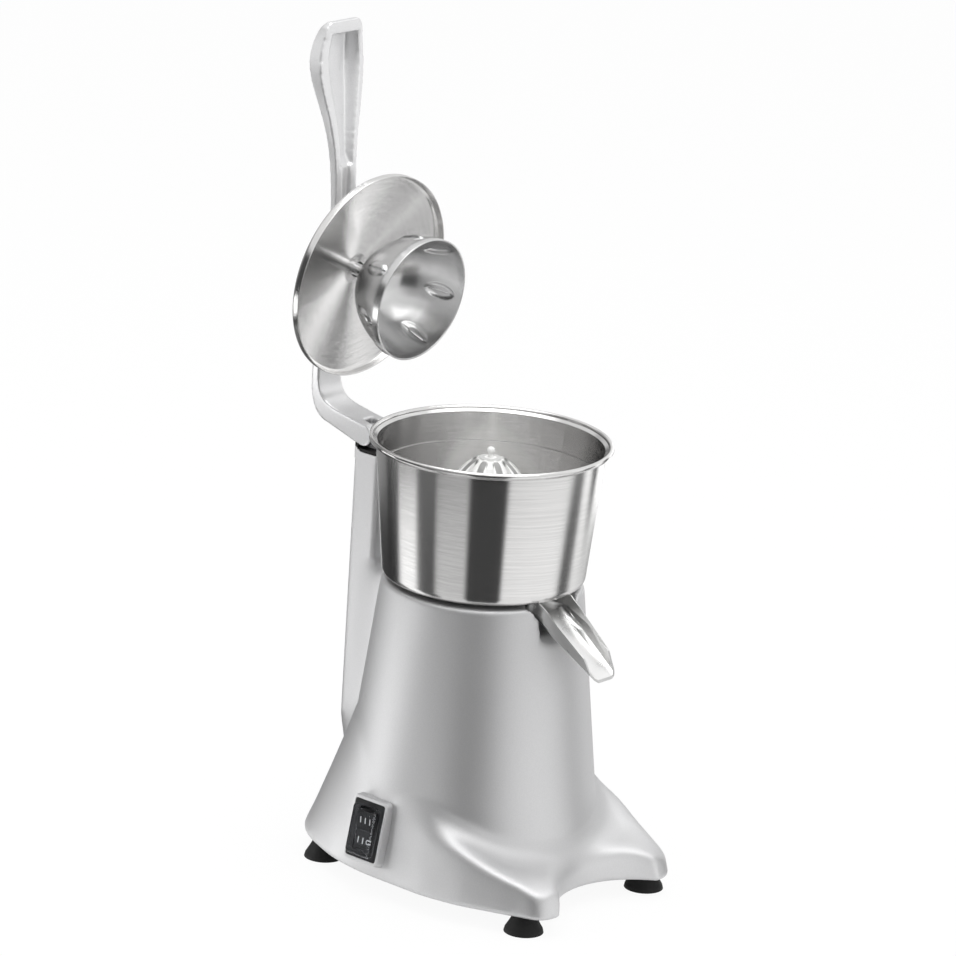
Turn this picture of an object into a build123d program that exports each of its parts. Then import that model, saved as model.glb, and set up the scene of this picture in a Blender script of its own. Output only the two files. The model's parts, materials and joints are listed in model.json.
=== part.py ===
from build123d import *
import math
import os

os.makedirs("parts", exist_ok=True)

# Named clearances and overrun
overrun = 4.0
running_gap = 0.05
slip_gap = 0.05
side_gap = 0.3
plate_gap = 0.5
shield_gap = 1.0

# Hinge of the lever, on the column behind the bowl's wall, and how far the grip goes behind and above it
bowl_wall_radius = 94.3
bowl_room = 14.7
column_ahead = 18.5
pivot_reach = bowl_wall_radius + bowl_room + column_ahead
pivot_height = 346.0
grip_setback = 71.0
grip_rise = 337.5
grip_reach = pivot_reach + grip_setback

# Housing: a tapered round body on a flared base with two toes
foot_height = 15.0
deck_top = 250.0
deck_thick = 12.0
deck_bottom = deck_top - deck_thick
deck_radius = 83.3
deck_edge_round = 3.0
base_radius = 110.8
body_taper = (base_radius - deck_radius) / (deck_top - foot_height)
wall_thick = 5.0
skirt_top = 150.0
skirt_inset = 3.0
base_half_width = 114.5
toe_reach_share = 1.3614
toe_reach = toe_reach_share * base_half_width
spindle_y = (toe_reach - grip_reach) / 2
station_angles = [-90, -80, -72, -67, -64, -61, -57, -52, -46, -39, -32, -24, -15, -4, 8, 18, 28, 38, 48, 55, 62, 71, 81, 90]
outline_shares = [1.371, 1.392, 1.441, 1.488, 1.511, 1.502, 1.430, 1.350, 1.275, 1.212, 1.150, 1.094, 1.035, 1.001,
                  1.001, 1.016, 1.046, 1.084, 1.145, 1.190, 1.222, 1.226, 1.222, 1.222]
rear_pull_shares = [0.0] * 18 + [0.37, 0.74, 1.0, 1.0, 1.0, 1.0]
rear_share = 1.222
skirt_heights = [foot_height, 50.0, 85.0, 120.0, skirt_top]
rear_flare_shares = [1.0, 0.74, 0.43, 0.155, 0.0]
toe_flare_shares = [1.0, 0.93, 0.75, 0.3, 0.0]
toe_blend_start = -5.0
toe_blend_span = 25.0

# Sloping tops of the toes, dipping towards the middle
ramp_half_width = 118.0
ramp_roof = 205.0
ramp_middle_height = 43.0
ramp_reaches = [-176.0, -150.0, -130.0, -110.0, -90.0, -70.0, -50.0, -30.0, -10.0, 10.0, 26.0]
ramp_side_heights = [4.0, 18.2, 38.8, 50.9, 62.0, 73.3, 86.6, 106.0, 129.0, 158.0, 190.0]
front_arc_radius = 75.3
front_arc_reach = 198.3
front_arc_height = 70.0
toe_edge_round = 6.0
bottom_edge_round = 3.0

# Cavity, ledge and base plate
plate_thick = 3.0
plate_radius = 107.5
plate_recess_radius = plate_radius + plate_gap
plate_top = foot_height + plate_thick
ledge_radius = 94.0
ledge_height = 12.0
ledge_top = plate_top + ledge_height
plate_screw_circle = 100.5
plate_screw_angles = [30, 150, 270]
plate_screw_radius = 2.0
plate_screw_head_radius = 4.0
plate_screw_head = 2.5
plate_screw_grip = 9.0
vent_count = 8
vent_inner = 22.0
vent_outer = 44.0
vent_width = 7.0

# Rear column, its web and the hinge lug
column_half_width = 14.0
column_behind = 9.5
column_front = pivot_reach - column_ahead
column_back = pivot_reach + column_behind
column_cover = 2.919
lug_rise = 18.0
column_top = pivot_height - lug_rise
column_round = 4.0
web_half_width = 9.0
web_front = 60.0
lug_half_width = 5.0
lug_radius = 7.2
pin_radius = 4.0
pin_blind = 11.0
pad_inset = 1.0
pad_step_behind = 5.5
pad_step = pivot_reach + pad_step_behind
pad_thick = 5.0
stop_gap = 0.1

# Feet and their bolts
foot_half_spacing = 76.2
front_foot_reach = 130.1
rear_foot_reach = 89.8
foot_bottom_radius = 16.3
foot_top_radius = 11.5
foot_lip = 3.0
foot_recess_radius = 7.0
foot_recess = 9.0
foot_bolt_radius = 3.0
foot_bolt_head_radius = 5.5
foot_bolt_head = 4.0
foot_bolt_grip = 12.0

# Motor
shaft_radius = 8.0
motor_room = deck_bottom - plate_top
fan_gap = 6.0
shaft_bottom = plate_top + fan_gap
stator_radius = 56.0
stator_bottom_share = 0.281818
stator_top_share = 0.6
stator_bottom = plate_top + stator_bottom_share * motor_room
stator_top = plate_top + stator_top_share * motor_room
stator_bore = 30.0
motor_wall = 10.0
winding_inner = 31.0
winding_outer = 44.0
winding_height = 20.0
winding_round = 5.0
rotor_radius = 29.0
rotor_inset = 8.0
rotor_bottom = stator_bottom + rotor_inset
rotor_top = stator_top - rotor_inset
collar_radius = 11.0
collar_height = 4.0
lower_shield_share = 0.118182
upper_web_share = 0.745455
lower_shield_bottom = plate_top + lower_shield_share * motor_room
upper_web_bottom = plate_top + upper_web_share * motor_room
shield_web = 6.0
bearing_radius = 16.0
bearing_height = 10.0
bearing_lip = 2.0
bearing_lip_radius = 12.0
bearing_boss = 5.0
tie_bolt_circle = 51.0
tie_bolt_angles = [90, 210, 330]
tie_bolt_radius = 2.5
tie_bolt_head_radius = 4.3
tie_bolt_head = 3.5
tie_bolt_grip = 15.0
tie_bolt_top = stator_top + tie_bolt_grip
motor_screw_head = 4.0
motor_screw_grip = 16.0
hex_sides = 6
fan_height = 12.0
fan_top = shaft_bottom + fan_height
fan_hub_radius = 12.0
fan_radius = 42.0
fan_blade_count = 7
fan_blade_thick = 2.0
fan_disc_thick = 2.0
seal_radius = 14.0
seal_lip = 2.0
seal_lip_radius = 11.0

# Electrics inside the body
capacitor_radius = 15.0
capacitor_height = 52.0
capacitor_reach = 74.0
capacitor_round = 2.0
terminal_width = 30.0
terminal_depth = 14.0
terminal_height = 16.0
terminal_reach = 76.0
terminal_hole_radius = 1.8
terminal_hole_depth = 8.0
terminal_hole_pitch = 9.0
terminal_hole_count = 3

# Cable gland on the right side, near the back
gland_reach = 34.0
gland_height = 46.0
gland_out = 112.0
gland_boss_radius = 17.0
gland_boss_depth = 16.0
gland_radius = 8.0
gland_bore = 4.0
gland_flange_radius = 12.0
gland_flange = 6.0
gland_nose_radius = 9.0
gland_inner_length = 22.0

# Switch on the left side: local height runs up the leaning wall
switch_lean = 12.0
switch_out = 111.5
switch_reach = 12.0
switch_height = 54.0
switch_boss_width = 41.0
switch_boss_height = 60.0
switch_boss_round = 7.0
switch_boss_depth = 15.0
frame_width = 32.0
frame_height = 48.0
frame_thick = 3.0
frame_round = 2.0
frame_rib = 3.6
switch_body_gap = 0.3
switch_body_depth = 26.0
rocker_width = 19.0
rocker_height = 33.0
rocker_base = 2.0
rocker_foot_inset = 1.0
rocker_pocket = 7.0
rocker_swing = 1.0
rocker_dip = 1.4
rocker_tilt = 6.0
rocker_rise = 4.4
rocker_axle_radius = 1.6
rocker_axle_depth = 2.5
rocker_axle_length = 1.6
boot_width = 27.0
boot_height = 42.5
boot_rise = 6.5
boot_thick = 1.3
boot_round = 4.0
boot_edge_round = 3.0

# Bowl, gasket, strainer and spout
gasket_inner = 31.0
gasket_outer = 43.0
gasket_thick = 2.9
bowl_bottom = deck_top + gasket_thick
bowl_bottom_radius = 83.4
bowl_depth = 113.1
bowl_wall_top = bowl_bottom + bowl_depth
bowl_thick = 1.2
bowl_corner = 7.0
rim_wire = 2.2
rim_link = 3.7
rim_radius = bowl_wall_radius + rim_link
rim_height = bowl_wall_top + rim_wire
bowl_tube_radius = 14.2
bowl_tube = 35.1
bowl_tube_top = bowl_bottom + bowl_tube
outlet_width = 24.0
outlet_front = 76.0
outlet_rear = 60.0
strainer_thick = 1.0
strainer_hub_radius = 23.2
strainer_floor_share = 0.40761
strainer_rim_share = 0.7878
strainer_floor = bowl_bottom + strainer_floor_share * bowl_depth
strainer_floor_radius = 76.0
strainer_rim = bowl_bottom + strainer_rim_share * bowl_depth
strainer_gap = 0.39
strainer_rim_radius = (
    bowl_bottom_radius
    + (bowl_wall_radius - bowl_bottom_radius) * strainer_rim_share
    - bowl_thick
    - strainer_gap
)
strainer_slot_count = 24
strainer_slot_inner = 52.0
strainer_slot_outer = 70.0
strainer_slot_width = 3.0
spout_half_width = 20.0
spout_end_half_width = 10.6
spout_thick = 1.5
spout_back = 46.0
spout_bend = 78.0
spout_slope = 32.4
spout_run = 90.0
spout_depth = 16.0
spout_round = 6.0
spout_lip_runs = [45.5, 48.5, 53.0, 58.0]
spout_lip_drops = [20.0, 31.0, 46.0, 58.0]
notch_gap = 1.5
notch_block = 7.0
notch_depth = 24.0
pocket_half_top = 30.0
pocket_half_bottom = 13.0
pocket_drop = 21.0
pocket_round = 5.0
pocket_reach = 66.0

# Cone
cone_profile_radii = [9.0, 16.5, 23.3, 31.0, 37.5, 42.0, 44.0]
cone_gap = 5.0
cone_foot = strainer_floor + cone_gap
cone_rises = [50.8, 47.0, 40.5, 30.0, 18.0, 7.0, 0.0]
cone_profile_heights = [cone_foot + rise for rise in cone_rises]
shaft_grip = 14.0
shaft_top = cone_foot + shaft_grip
cone_ball_radius = 3.3
cone_ball_rise = 5.6
cone_ball_height = cone_profile_heights[0] + cone_ball_rise
cone_neck_radius = 2.2
cone_hub_radius = 19.0
cone_hub_drop = 38.0
cone_hub_bottom = cone_foot - cone_hub_drop
cone_hub_bore = 16.0
cone_hub_gap = 4.0
cone_hub_bore_top = bowl_tube_top + cone_hub_gap
cone_skirt_thick = 5.0
groove_count = 8
groove_width = 6.0
groove_depth = 4.5
groove_depth_shares = [0.0, 0.6, 1.0, 1.0, 1.0, 0.9, 0.7]

# Lever: side outline in the raised pose, as shares of the grip's setback and rise from the hinge
arm_slope = 16.1
arm_underside = 10.7
arm_topside = 8.8
arm_nose = 9.0
arm_bend_share = 0.570423
bend_setback_shares = [0.6831, 0.75352, 0.80704]
bend_rise_shares = [0.01053, 0.02339, 0.04386]
back_setback_shares = [0.84085, 0.85493, 0.78169, 0.72535, 0.76338, 0.81972, 0.91549, 0.98732, 1.0,
                       0.97887, 0.92254]
back_rise_shares = [0.07018, 0.1345, 0.33918, 0.55263, 0.63743, 0.72807, 0.81579, 0.88012, 0.90936,
                    0.94737, 0.98246]
grip_end_share = 0.866197
grip_front_share = 0.78169
front_setback_shares = [0.80423, 0.79859, 0.76761, 0.71972, 0.69014, 0.64789, 0.62676, 0.66197, 0.72254,
                        0.73944, 0.71831, 0.65493, 0.54225, 0.39437, 0.21831]
front_rise_shares = [0.95322, 0.89766, 0.83918, 0.77778, 0.72807, 0.64035, 0.56725, 0.39181, 0.21637,
                     0.1345, 0.08772, 0.0614, 0.04766, 0.03977, 0.03304]
half_widths = [14.0, 14.0, 13.6, 12.6, 12.6, 15.8, 19.4, 23.4, 26.0, 25.8, 24.0, 21.5]
width_rise_shares = [-0.0614, 0.15789, 0.36257, 0.55263, 0.64035, 0.72515, 0.77485, 0.82456, 0.87719,
                     0.91228, 0.95322, 0.98538]
grip_top_half_width = 17.0
slot_gap = 0.9
slot_rear = pivot_reach + lug_radius + slot_gap
hollow_half_widths = [7.5, 9.5, 13.5, 17.5, 20.0, 20.3, 18.8, 17.0]
hollow_rise_shares = [0.64327, 0.71345, 0.77485, 0.83041, 0.87719, 0.90643, 0.94152, 0.96784]
hollow_reach = 20.0
hollow_setback_shares = [0.70563, 0.7507, 0.81268, 0.87324, 0.92254, 0.93099, 0.92254, 0.90141]
channel_half_width = 4.5
channel_back_share = 0.690141
channel_bottom_share = 0.508772
channel_top_share = 0.690058

# Press: heights along the rod, counted from the pivot's level when lowered
press_tilt = 8.0
rod_radius = 5.0
rod_foot = 30.0
rod_seat_share = 0.74031
rod_head = (rod_seat_share * grip_setback + pivot_reach * math.sin(math.radians(press_tilt))) / math.cos(
    math.radians(press_tilt)
)
rod_ring_radius = 7.0
rod_ring = 2.0
disc_edge = 30.0
disc_radius = 87.6
disc_wall = 8.0
disc_round = 5.0
disc_centre = 48.5
disc_flat_radius = 13.0
disc_thick = 1.2
lever_boss_radius = 11.0
cup_mouth = -26.0
cup_radii = [52.6, 51.6, 48.8, 44.4, 38.0, 29.0, 20.5]
cup_rises = [0.0, 8.0, 18.0, 28.0, 38.5, 48.0, 53.0]
cup_flat_radius = 14.0
cup_top = 30.0
cup_thick = 1.2
button_radius = 12.0
button_thick = 3.0
button_stud_radius = 3.0
button_stud = 12.0

# Working planes and axes through the spindle
floor = Plane((0, spindle_y, 0))
side = Plane(origin=(0, spindle_y, 0), x_dir=(0, 1, 0), z_dir=(1, 0, 0))
front = Plane(origin=(0, spindle_y, 0), x_dir=(1, 0, 0), z_dir=(0, -1, 0))
spindle = Axis((0, spindle_y, 0), (0, 0, 1))


def body_radius(height):
    return deck_radius + body_taper * (deck_top - height)


def skirt_points(level):
    height = skirt_heights[level]
    inset = skirt_inset if height == skirt_top else 0
    right = []
    for angle, share, pull in zip(station_angles, outline_shares, rear_pull_shares):
        toe = min(max((toe_blend_start - angle) / toe_blend_span, 0), 1)
        toe = toe * toe * (3 - 2 * toe)
        flare = toe * toe_flare_shares[level] + (1 - toe) * rear_flare_shares[level]
        outline = share * base_half_width + pull * (column_back + column_cover - rear_share * base_half_width)
        reach = body_radius(height) + flare * (outline - base_radius) - inset
        turn = math.radians(angle)
        right.append((reach * math.cos(turn), reach * math.sin(turn)))
    left = [(-x, y) for x, y in reversed(right[1:-1])]
    return right + left


def behind(share):
    return pivot_reach + share * grip_setback


def above(share):
    return pivot_height + share * grip_rise


def inset(points, amount):
    moved = []
    for place, (x, y) in enumerate(points):
        before = points[max(place - 1, 0)]
        after = points[min(place + 1, len(points) - 1)]
        run = math.hypot(after[0] - before[0], after[1] - before[1])
        moved.append((x - amount * (after[1] - before[1]) / run, y + amount * (after[0] - before[0]) / run))
    return moved


# Flared skirt that carries the toes
with BuildPart() as skirt:
    for level, height in enumerate(skirt_heights):
        with BuildSketch(floor.offset(height)):
            with BuildLine():
                Spline(*skirt_points(level), periodic=True)
            make_face()
    loft()

# Space above the sloping toe tops
with BuildPart() as toe_space:
    for across in (-ramp_half_width, 0, ramp_half_width):
        heights = ramp_side_heights if across else [ramp_middle_height] * len(ramp_reaches)
        slope = list(zip(ramp_reaches, heights))
        with BuildSketch(side.offset(across)):
            with BuildLine():
                Spline(*slope)
                Polyline(slope[-1], (ramp_reaches[-1], ramp_roof), (ramp_reaches[0], ramp_roof), slope[0])
            make_face()
    loft()

# Switch and gland stand on flat bosses that follow the wall's lean
switch_lean_rad = math.radians(switch_lean)
switch_plane = Plane(
    origin=(-switch_out, spindle_y + switch_reach, switch_height),
    x_dir=(0, -1, 0),
    z_dir=(-math.cos(switch_lean_rad), 0, math.sin(switch_lean_rad)),
)
gland_plane = Plane(
    origin=(gland_out, spindle_y + gland_reach, gland_height),
    x_dir=(0, 1, 0),
    z_dir=(math.cos(switch_lean_rad), 0, math.sin(switch_lean_rad)),
)
# The gland ends as far out on the right as the boot does on the left
boot_out = (
    switch_out
    + (frame_thick + boot_rise - boot_edge_round) * math.cos(switch_lean_rad)
    + (boot_height / 2 - boot_edge_round) * math.sin(switch_lean_rad)
    + boot_edge_round
)
gland_end = (boot_out - gland_out - gland_nose_radius * math.sin(switch_lean_rad)) / math.cos(switch_lean_rad)
switch_hole_width = frame_width - 2 * frame_rib
switch_hole_height = frame_height - 2 * frame_rib
foot_places = [
    (-foot_half_spacing, -front_foot_reach),
    (foot_half_spacing, -front_foot_reach),
    (-foot_half_spacing, rear_foot_reach),
    (foot_half_spacing, rear_foot_reach),
]

# Spout line: from its bend under the bowl down to its lip
spout_turn = math.radians(spout_slope)
spout_plane = Plane(
    origin=(0, spindle_y - spout_bend, bowl_bottom),
    x_dir=(1, 0, 0),
    z_dir=(0, -math.cos(spout_turn), -math.sin(spout_turn)),
)

# Skirt cut to its toes, with soft edges
with BuildPart() as toes:
    add(skirt.part)
    add(toe_space.part, mode=Mode.SUBTRACT)
    with BuildSketch(floor):
        with Locations((0, -front_arc_reach)):
            Circle(front_arc_radius)
    extrude(amount=front_arc_height, mode=Mode.SUBTRACT)
    toe_edges = []
    for edge in toes.edges():
        box = edge.bounding_box()
        if box.min.Z > foot_height + overrun and box.min.Y < spindle_y - front_foot_reach:
            toe_edges.append(edge)
    fillet(toe_edges, toe_edge_round)
    floor_edges = [edge for edge in toes.edges() if edge.bounding_box().max.Z < foot_height + overrun]
    fillet(floor_edges, bottom_edge_round)

# Trough block under the deck that the spout's notch is cut in
with BuildPart() as trough:
    with BuildSketch(side):
        with BuildLine():
            Polyline(
                (-spout_back + notch_block, deck_bottom + overrun),
                (-spout_back + notch_block, deck_top - notch_depth - notch_block),
                (-base_radius, deck_top - notch_depth - notch_block),
                (-base_radius, deck_bottom + overrun),
                close=True,
            )
        make_face()
    extrude(amount=spout_half_width + notch_gap + notch_block, both=True)
    with BuildSketch(front):
        with BuildLine():
            Polyline(
                (0, foot_height),
                (base_radius - wall_thick / 2, foot_height),
                (deck_radius - wall_thick / 2, deck_top),
                (0, deck_top),
                close=True,
            )
        make_face()
    revolve(axis=spindle, mode=Mode.INTERSECT)

with BuildPart() as housing:
    with BuildSketch(front):
        with BuildLine():
            Polyline(
                (0, foot_height),
                (base_radius, foot_height),
                (deck_radius, deck_top),
                (0, deck_top),
                close=True,
            )
        make_face()
    revolve(axis=spindle)
    fillet(housing.edges().group_by(Axis.Z)[-1], deck_edge_round)
    add(toes.part)
    # Column and web
    with BuildSketch(floor.offset(foot_height)):
        with Locations((0, (column_front + column_back) / 2)):
            RectangleRounded(2 * column_half_width, column_back - column_front, column_round)
    extrude(amount=column_top - foot_height)
    with BuildSketch(floor.offset(foot_height)):
        with Locations((0, (web_front + column_front + column_round) / 2)):
            Rectangle(2 * web_half_width, column_front + column_round - web_front)
    extrude(amount=deck_bottom - foot_height)
    # Hinge lug
    with BuildSketch(side):
        with Locations((pivot_reach, pivot_height)):
            Circle(lug_radius)
        with BuildLine():
            Polyline(
                (pivot_reach - lug_radius, pivot_height),
                (pivot_reach - lug_radius, column_top - overrun),
                (pivot_reach + lug_radius, column_top - overrun),
                (pivot_reach + lug_radius, pivot_height),
                close=True,
            )
        make_face()
    extrude(amount=lug_half_width, both=True)
    with BuildSketch(side):
        with Locations((pivot_reach, pivot_height)):
            Circle(pin_radius + running_gap)
    extrude(amount=lug_half_width + overrun, both=True, mode=Mode.SUBTRACT)
    # Bosses for the switch and the gland
    with BuildSketch(switch_plane):
        RectangleRounded(switch_boss_width, switch_boss_height, switch_boss_round)
    extrude(amount=-switch_boss_depth)
    with BuildSketch(gland_plane):
        Circle(gland_boss_radius)
    extrude(amount=-gland_boss_depth)
    # Cavity, then the trough block across it
    with BuildSketch(front):
        with BuildLine():
            Polyline(
                (0, foot_height - overrun),
                (plate_recess_radius, foot_height - overrun),
                (plate_recess_radius, plate_top),
                (ledge_radius, plate_top),
                (ledge_radius, ledge_top),
                (body_radius(ledge_top) - wall_thick, ledge_top),
                (body_radius(deck_bottom) - wall_thick, deck_bottom),
                (0, deck_bottom),
                close=True,
            )
        make_face()
    revolve(axis=spindle, mode=Mode.SUBTRACT)
    add(trough.part)
    # Notch for the spout
    with BuildSketch(side):
        with BuildLine():
            Polyline(
                (-spout_back + notch_gap, deck_top + overrun),
                (-spout_back + notch_gap, deck_top - notch_depth + notch_block),
                (-spout_bend, deck_top - notch_depth),
                (-spout_bend - notch_depth, deck_top - 2 * notch_depth),
                (-spout_bend - 2 * notch_depth, deck_top - 2 * notch_depth),
                (-spout_bend - 2 * notch_depth, deck_top + overrun),
                close=True,
            )
        make_face()
    extrude(amount=spout_half_width + notch_gap, both=True, mode=Mode.SUBTRACT)
    # Flared pocket in the wall under the spout
    with BuildSketch(front.offset(pocket_reach)) as pocket:
        with BuildLine():
            Polyline(
                (-pocket_half_top, deck_top),
                (-pocket_half_bottom, deck_top - pocket_drop),
                (pocket_half_bottom, deck_top - pocket_drop),
                (pocket_half_top, deck_top),
                (pocket_half_top, deck_top + overrun),
                (-pocket_half_top, deck_top + overrun),
                close=True,
            )
        make_face()
        fillet(pocket.vertices().group_by(Axis.Y)[0], pocket_round)
    extrude(amount=base_radius - pocket_reach, mode=Mode.SUBTRACT)
    # Shaft opening with a lip under the seal
    with BuildSketch(floor.offset(deck_bottom + seal_lip)):
        Circle(seal_radius + slip_gap)
    extrude(amount=deck_thick, mode=Mode.SUBTRACT)
    with BuildSketch(floor.offset(deck_bottom - overrun)):
        Circle(seal_lip_radius)
    extrude(amount=deck_thick, mode=Mode.SUBTRACT)
    # Motor screws through the deck
    with BuildSketch(floor.offset(deck_top - motor_screw_head)):
        with PolarLocations(tie_bolt_circle, len(tie_bolt_angles), tie_bolt_angles[0]):
            Circle(tie_bolt_head_radius + side_gap)
    extrude(amount=deck_thick, mode=Mode.SUBTRACT)
    with BuildSketch(floor.offset(deck_bottom - overrun)):
        with PolarLocations(tie_bolt_circle, len(tie_bolt_angles), tie_bolt_angles[0]):
            Circle(tie_bolt_radius + slip_gap)
    extrude(amount=deck_thick + overrun, mode=Mode.SUBTRACT)
    # Switch opening, gland hole, plate screw holes and foot bolt holes
    with BuildSketch(switch_plane):
        RectangleRounded(switch_hole_width, switch_hole_height, frame_round)
    extrude(amount=-switch_body_depth - overrun, mode=Mode.SUBTRACT)
    with BuildSketch(gland_plane):
        Circle(gland_radius + slip_gap)
    extrude(amount=-gland_inner_length - overrun, mode=Mode.SUBTRACT)
    with BuildSketch(floor.offset(plate_top)):
        with PolarLocations(plate_screw_circle, len(plate_screw_angles), plate_screw_angles[0]):
            Circle(plate_screw_radius + slip_gap)
    extrude(amount=plate_screw_grip + slip_gap, mode=Mode.SUBTRACT)
    with BuildSketch(floor.offset(foot_height)):
        with Locations(*foot_places):
            Circle(foot_bolt_radius + slip_gap)
    extrude(amount=foot_bolt_grip + slip_gap, mode=Mode.SUBTRACT)

housing.part.label = "housing"
export_step(housing.part, "parts/housing.step")

# Base plate with radial vents
with BuildPart() as base_plate:
    with BuildSketch(floor.offset(foot_height)):
        Circle(plate_radius)
        with PolarLocations((vent_inner + vent_outer) / 2, vent_count):
            SlotOverall(vent_outer - vent_inner, vent_width, mode=Mode.SUBTRACT)
        with PolarLocations(plate_screw_circle, len(plate_screw_angles), plate_screw_angles[0]):
            Circle(plate_screw_radius + slip_gap, mode=Mode.SUBTRACT)
    extrude(amount=plate_thick)

base_plate.part.label = "base_plate"
export_step(base_plate.part, "parts/base_plate.step")

for index, angle in enumerate(plate_screw_angles, 1):
    turn = math.radians(angle)
    across = plate_screw_circle * math.cos(turn)
    along = plate_screw_circle * math.sin(turn)
    place = Plane((across, spindle_y + along, foot_height))
    with BuildPart() as base_screw:
        with BuildSketch(place):
            Circle(plate_screw_head_radius)
        extrude(amount=-plate_screw_head)
        with BuildSketch(place):
            Circle(plate_screw_radius)
        extrude(amount=plate_thick + plate_screw_grip)
    base_screw.part.label = f"base_screw_{index}"
    export_step(base_screw.part, f"parts/base_screw_{index}.step")

# Rubber feet, wider at the floor, each with a bolt up into the housing
for index, (across, along) in enumerate(foot_places, 1):
    place = Plane(origin=(across, spindle_y + along, 0), x_dir=(1, 0, 0), z_dir=(0, -1, 0))
    upright = Axis((across, spindle_y + along, 0), (0, 0, 1))
    with BuildPart() as foot:
        with BuildSketch(place):
            with BuildLine():
                Polyline(
                    (foot_recess_radius, 0),
                    (foot_bottom_radius, 0),
                    (foot_bottom_radius, foot_lip),
                    (foot_top_radius, foot_height),
                    (foot_bolt_radius + slip_gap, foot_height),
                    (foot_bolt_radius + slip_gap, foot_recess),
                    (foot_recess_radius, foot_recess),
                    close=True,
                )
            make_face()
        revolve(axis=upright)
    foot.part.label = f"foot_{index}"
    export_step(foot.part, f"parts/foot_{index}.step")
    with BuildPart() as foot_bolt:
        with BuildSketch(place):
            with BuildLine():
                Polyline(
                    (0, foot_recess - foot_bolt_head),
                    (foot_bolt_head_radius, foot_recess - foot_bolt_head),
                    (foot_bolt_head_radius, foot_recess),
                    (foot_bolt_radius, foot_recess),
                    (foot_bolt_radius, foot_height + foot_bolt_grip),
                    (0, foot_height + foot_bolt_grip),
                    close=True,
                )
            make_face()
        revolve(axis=upright)
    foot_bolt.part.label = f"foot_bolt_{index}"
    export_step(foot_bolt.part, f"parts/foot_bolt_{index}.step")

# Motor: stator, windings and end shields
with BuildPart() as motor_stator:
    with BuildSketch(floor.offset(stator_bottom)):
        Circle(stator_radius)
        Circle(stator_bore, mode=Mode.SUBTRACT)
        with PolarLocations(tie_bolt_circle, len(tie_bolt_angles), tie_bolt_angles[0]):
            Circle(tie_bolt_radius + slip_gap, mode=Mode.SUBTRACT)
    extrude(amount=stator_top - stator_bottom)

motor_stator.part.label = "motor_stator"
export_step(motor_stator.part, "parts/motor_stator.step")

with BuildPart() as winding_upper:
    with BuildSketch(floor.offset(stator_top)):
        Circle(winding_outer)
        Circle(winding_inner, mode=Mode.SUBTRACT)
    extrude(amount=winding_height)
    fillet(winding_upper.edges().group_by(Axis.Z)[-1], winding_round)

winding_upper.part.label = "winding_upper"
export_step(winding_upper.part, "parts/winding_upper.step")

with BuildPart() as winding_lower:
    with BuildSketch(floor.offset(stator_bottom)):
        Circle(winding_outer)
        Circle(winding_inner, mode=Mode.SUBTRACT)
    extrude(amount=-winding_height)
    fillet(winding_lower.edges().group_by(Axis.Z)[0], winding_round)

winding_lower.part.label = "winding_lower"
export_step(winding_lower.part, "parts/winding_lower.step")

shield_inner = stator_radius - motor_wall
bearing_seat = bearing_radius + slip_gap
with BuildPart() as shield_lower:
    with BuildSketch(front):
        with BuildLine():
            Polyline(
                (bearing_lip_radius, lower_shield_bottom),
                (stator_radius, lower_shield_bottom),
                (stator_radius, stator_bottom),
                (shield_inner, stator_bottom),
                (shield_inner, lower_shield_bottom + shield_web),
                (bearing_seat + bearing_boss, lower_shield_bottom + shield_web),
                (bearing_seat + bearing_boss, lower_shield_bottom + bearing_lip + bearing_height),
                (bearing_seat, lower_shield_bottom + bearing_lip + bearing_height),
                (bearing_seat, lower_shield_bottom + bearing_lip),
                (bearing_lip_radius, lower_shield_bottom + bearing_lip),
                close=True,
            )
        make_face()
    revolve(axis=spindle)
    with BuildSketch(floor.offset(lower_shield_bottom)):
        with PolarLocations(tie_bolt_circle, len(tie_bolt_angles), tie_bolt_angles[0]):
            Circle(tie_bolt_radius + slip_gap)
    extrude(amount=stator_bottom - lower_shield_bottom, mode=Mode.SUBTRACT)

shield_lower.part.label = "shield_lower"
export_step(shield_lower.part, "parts/shield_lower.step")

with BuildPart() as shield_upper:
    with BuildSketch(front):
        with BuildLine():
            Polyline(
                (bearing_lip_radius, upper_web_bottom),
                (shield_inner, upper_web_bottom),
                (shield_inner, stator_top),
                (stator_radius, stator_top),
                (stator_radius, deck_bottom),
                (shield_inner, deck_bottom),
                (shield_inner, upper_web_bottom + shield_web),
                (bearing_seat + bearing_boss, upper_web_bottom + shield_web),
                (bearing_seat + bearing_boss, upper_web_bottom + bearing_lip + bearing_height),
                (bearing_seat, upper_web_bottom + bearing_lip + bearing_height),
                (bearing_seat, upper_web_bottom + bearing_lip),
                (bearing_lip_radius, upper_web_bottom + bearing_lip),
                close=True,
            )
        make_face()
    revolve(axis=spindle)
    with BuildSketch(floor.offset(stator_top)):
        with PolarLocations(tie_bolt_circle, len(tie_bolt_angles), tie_bolt_angles[0]):
            Circle(tie_bolt_radius + slip_gap)
    extrude(amount=tie_bolt_top - stator_top + slip_gap, mode=Mode.SUBTRACT)
    with BuildSketch(floor.offset(deck_bottom)):
        with PolarLocations(tie_bolt_circle, len(tie_bolt_angles), tie_bolt_angles[0]):
            Circle(tie_bolt_radius + slip_gap)
    extrude(amount=-motor_screw_grip - slip_gap, mode=Mode.SUBTRACT)
    # Room for the trough block
    with BuildSketch(side):
        with BuildLine():
            Polyline(
                (-spout_back + notch_block + shield_gap, deck_bottom),
                (-spout_back + notch_block + shield_gap, deck_top - notch_depth - notch_block - shield_gap),
                (-stator_radius - overrun, deck_top - notch_depth - notch_block - shield_gap),
                (-stator_radius - overrun, deck_bottom),
                close=True,
            )
        make_face()
    extrude(amount=spout_half_width + notch_gap + notch_block + shield_gap, both=True, mode=Mode.SUBTRACT)

shield_upper.part.label = "shield_upper"
export_step(shield_upper.part, "parts/shield_upper.step")

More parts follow.
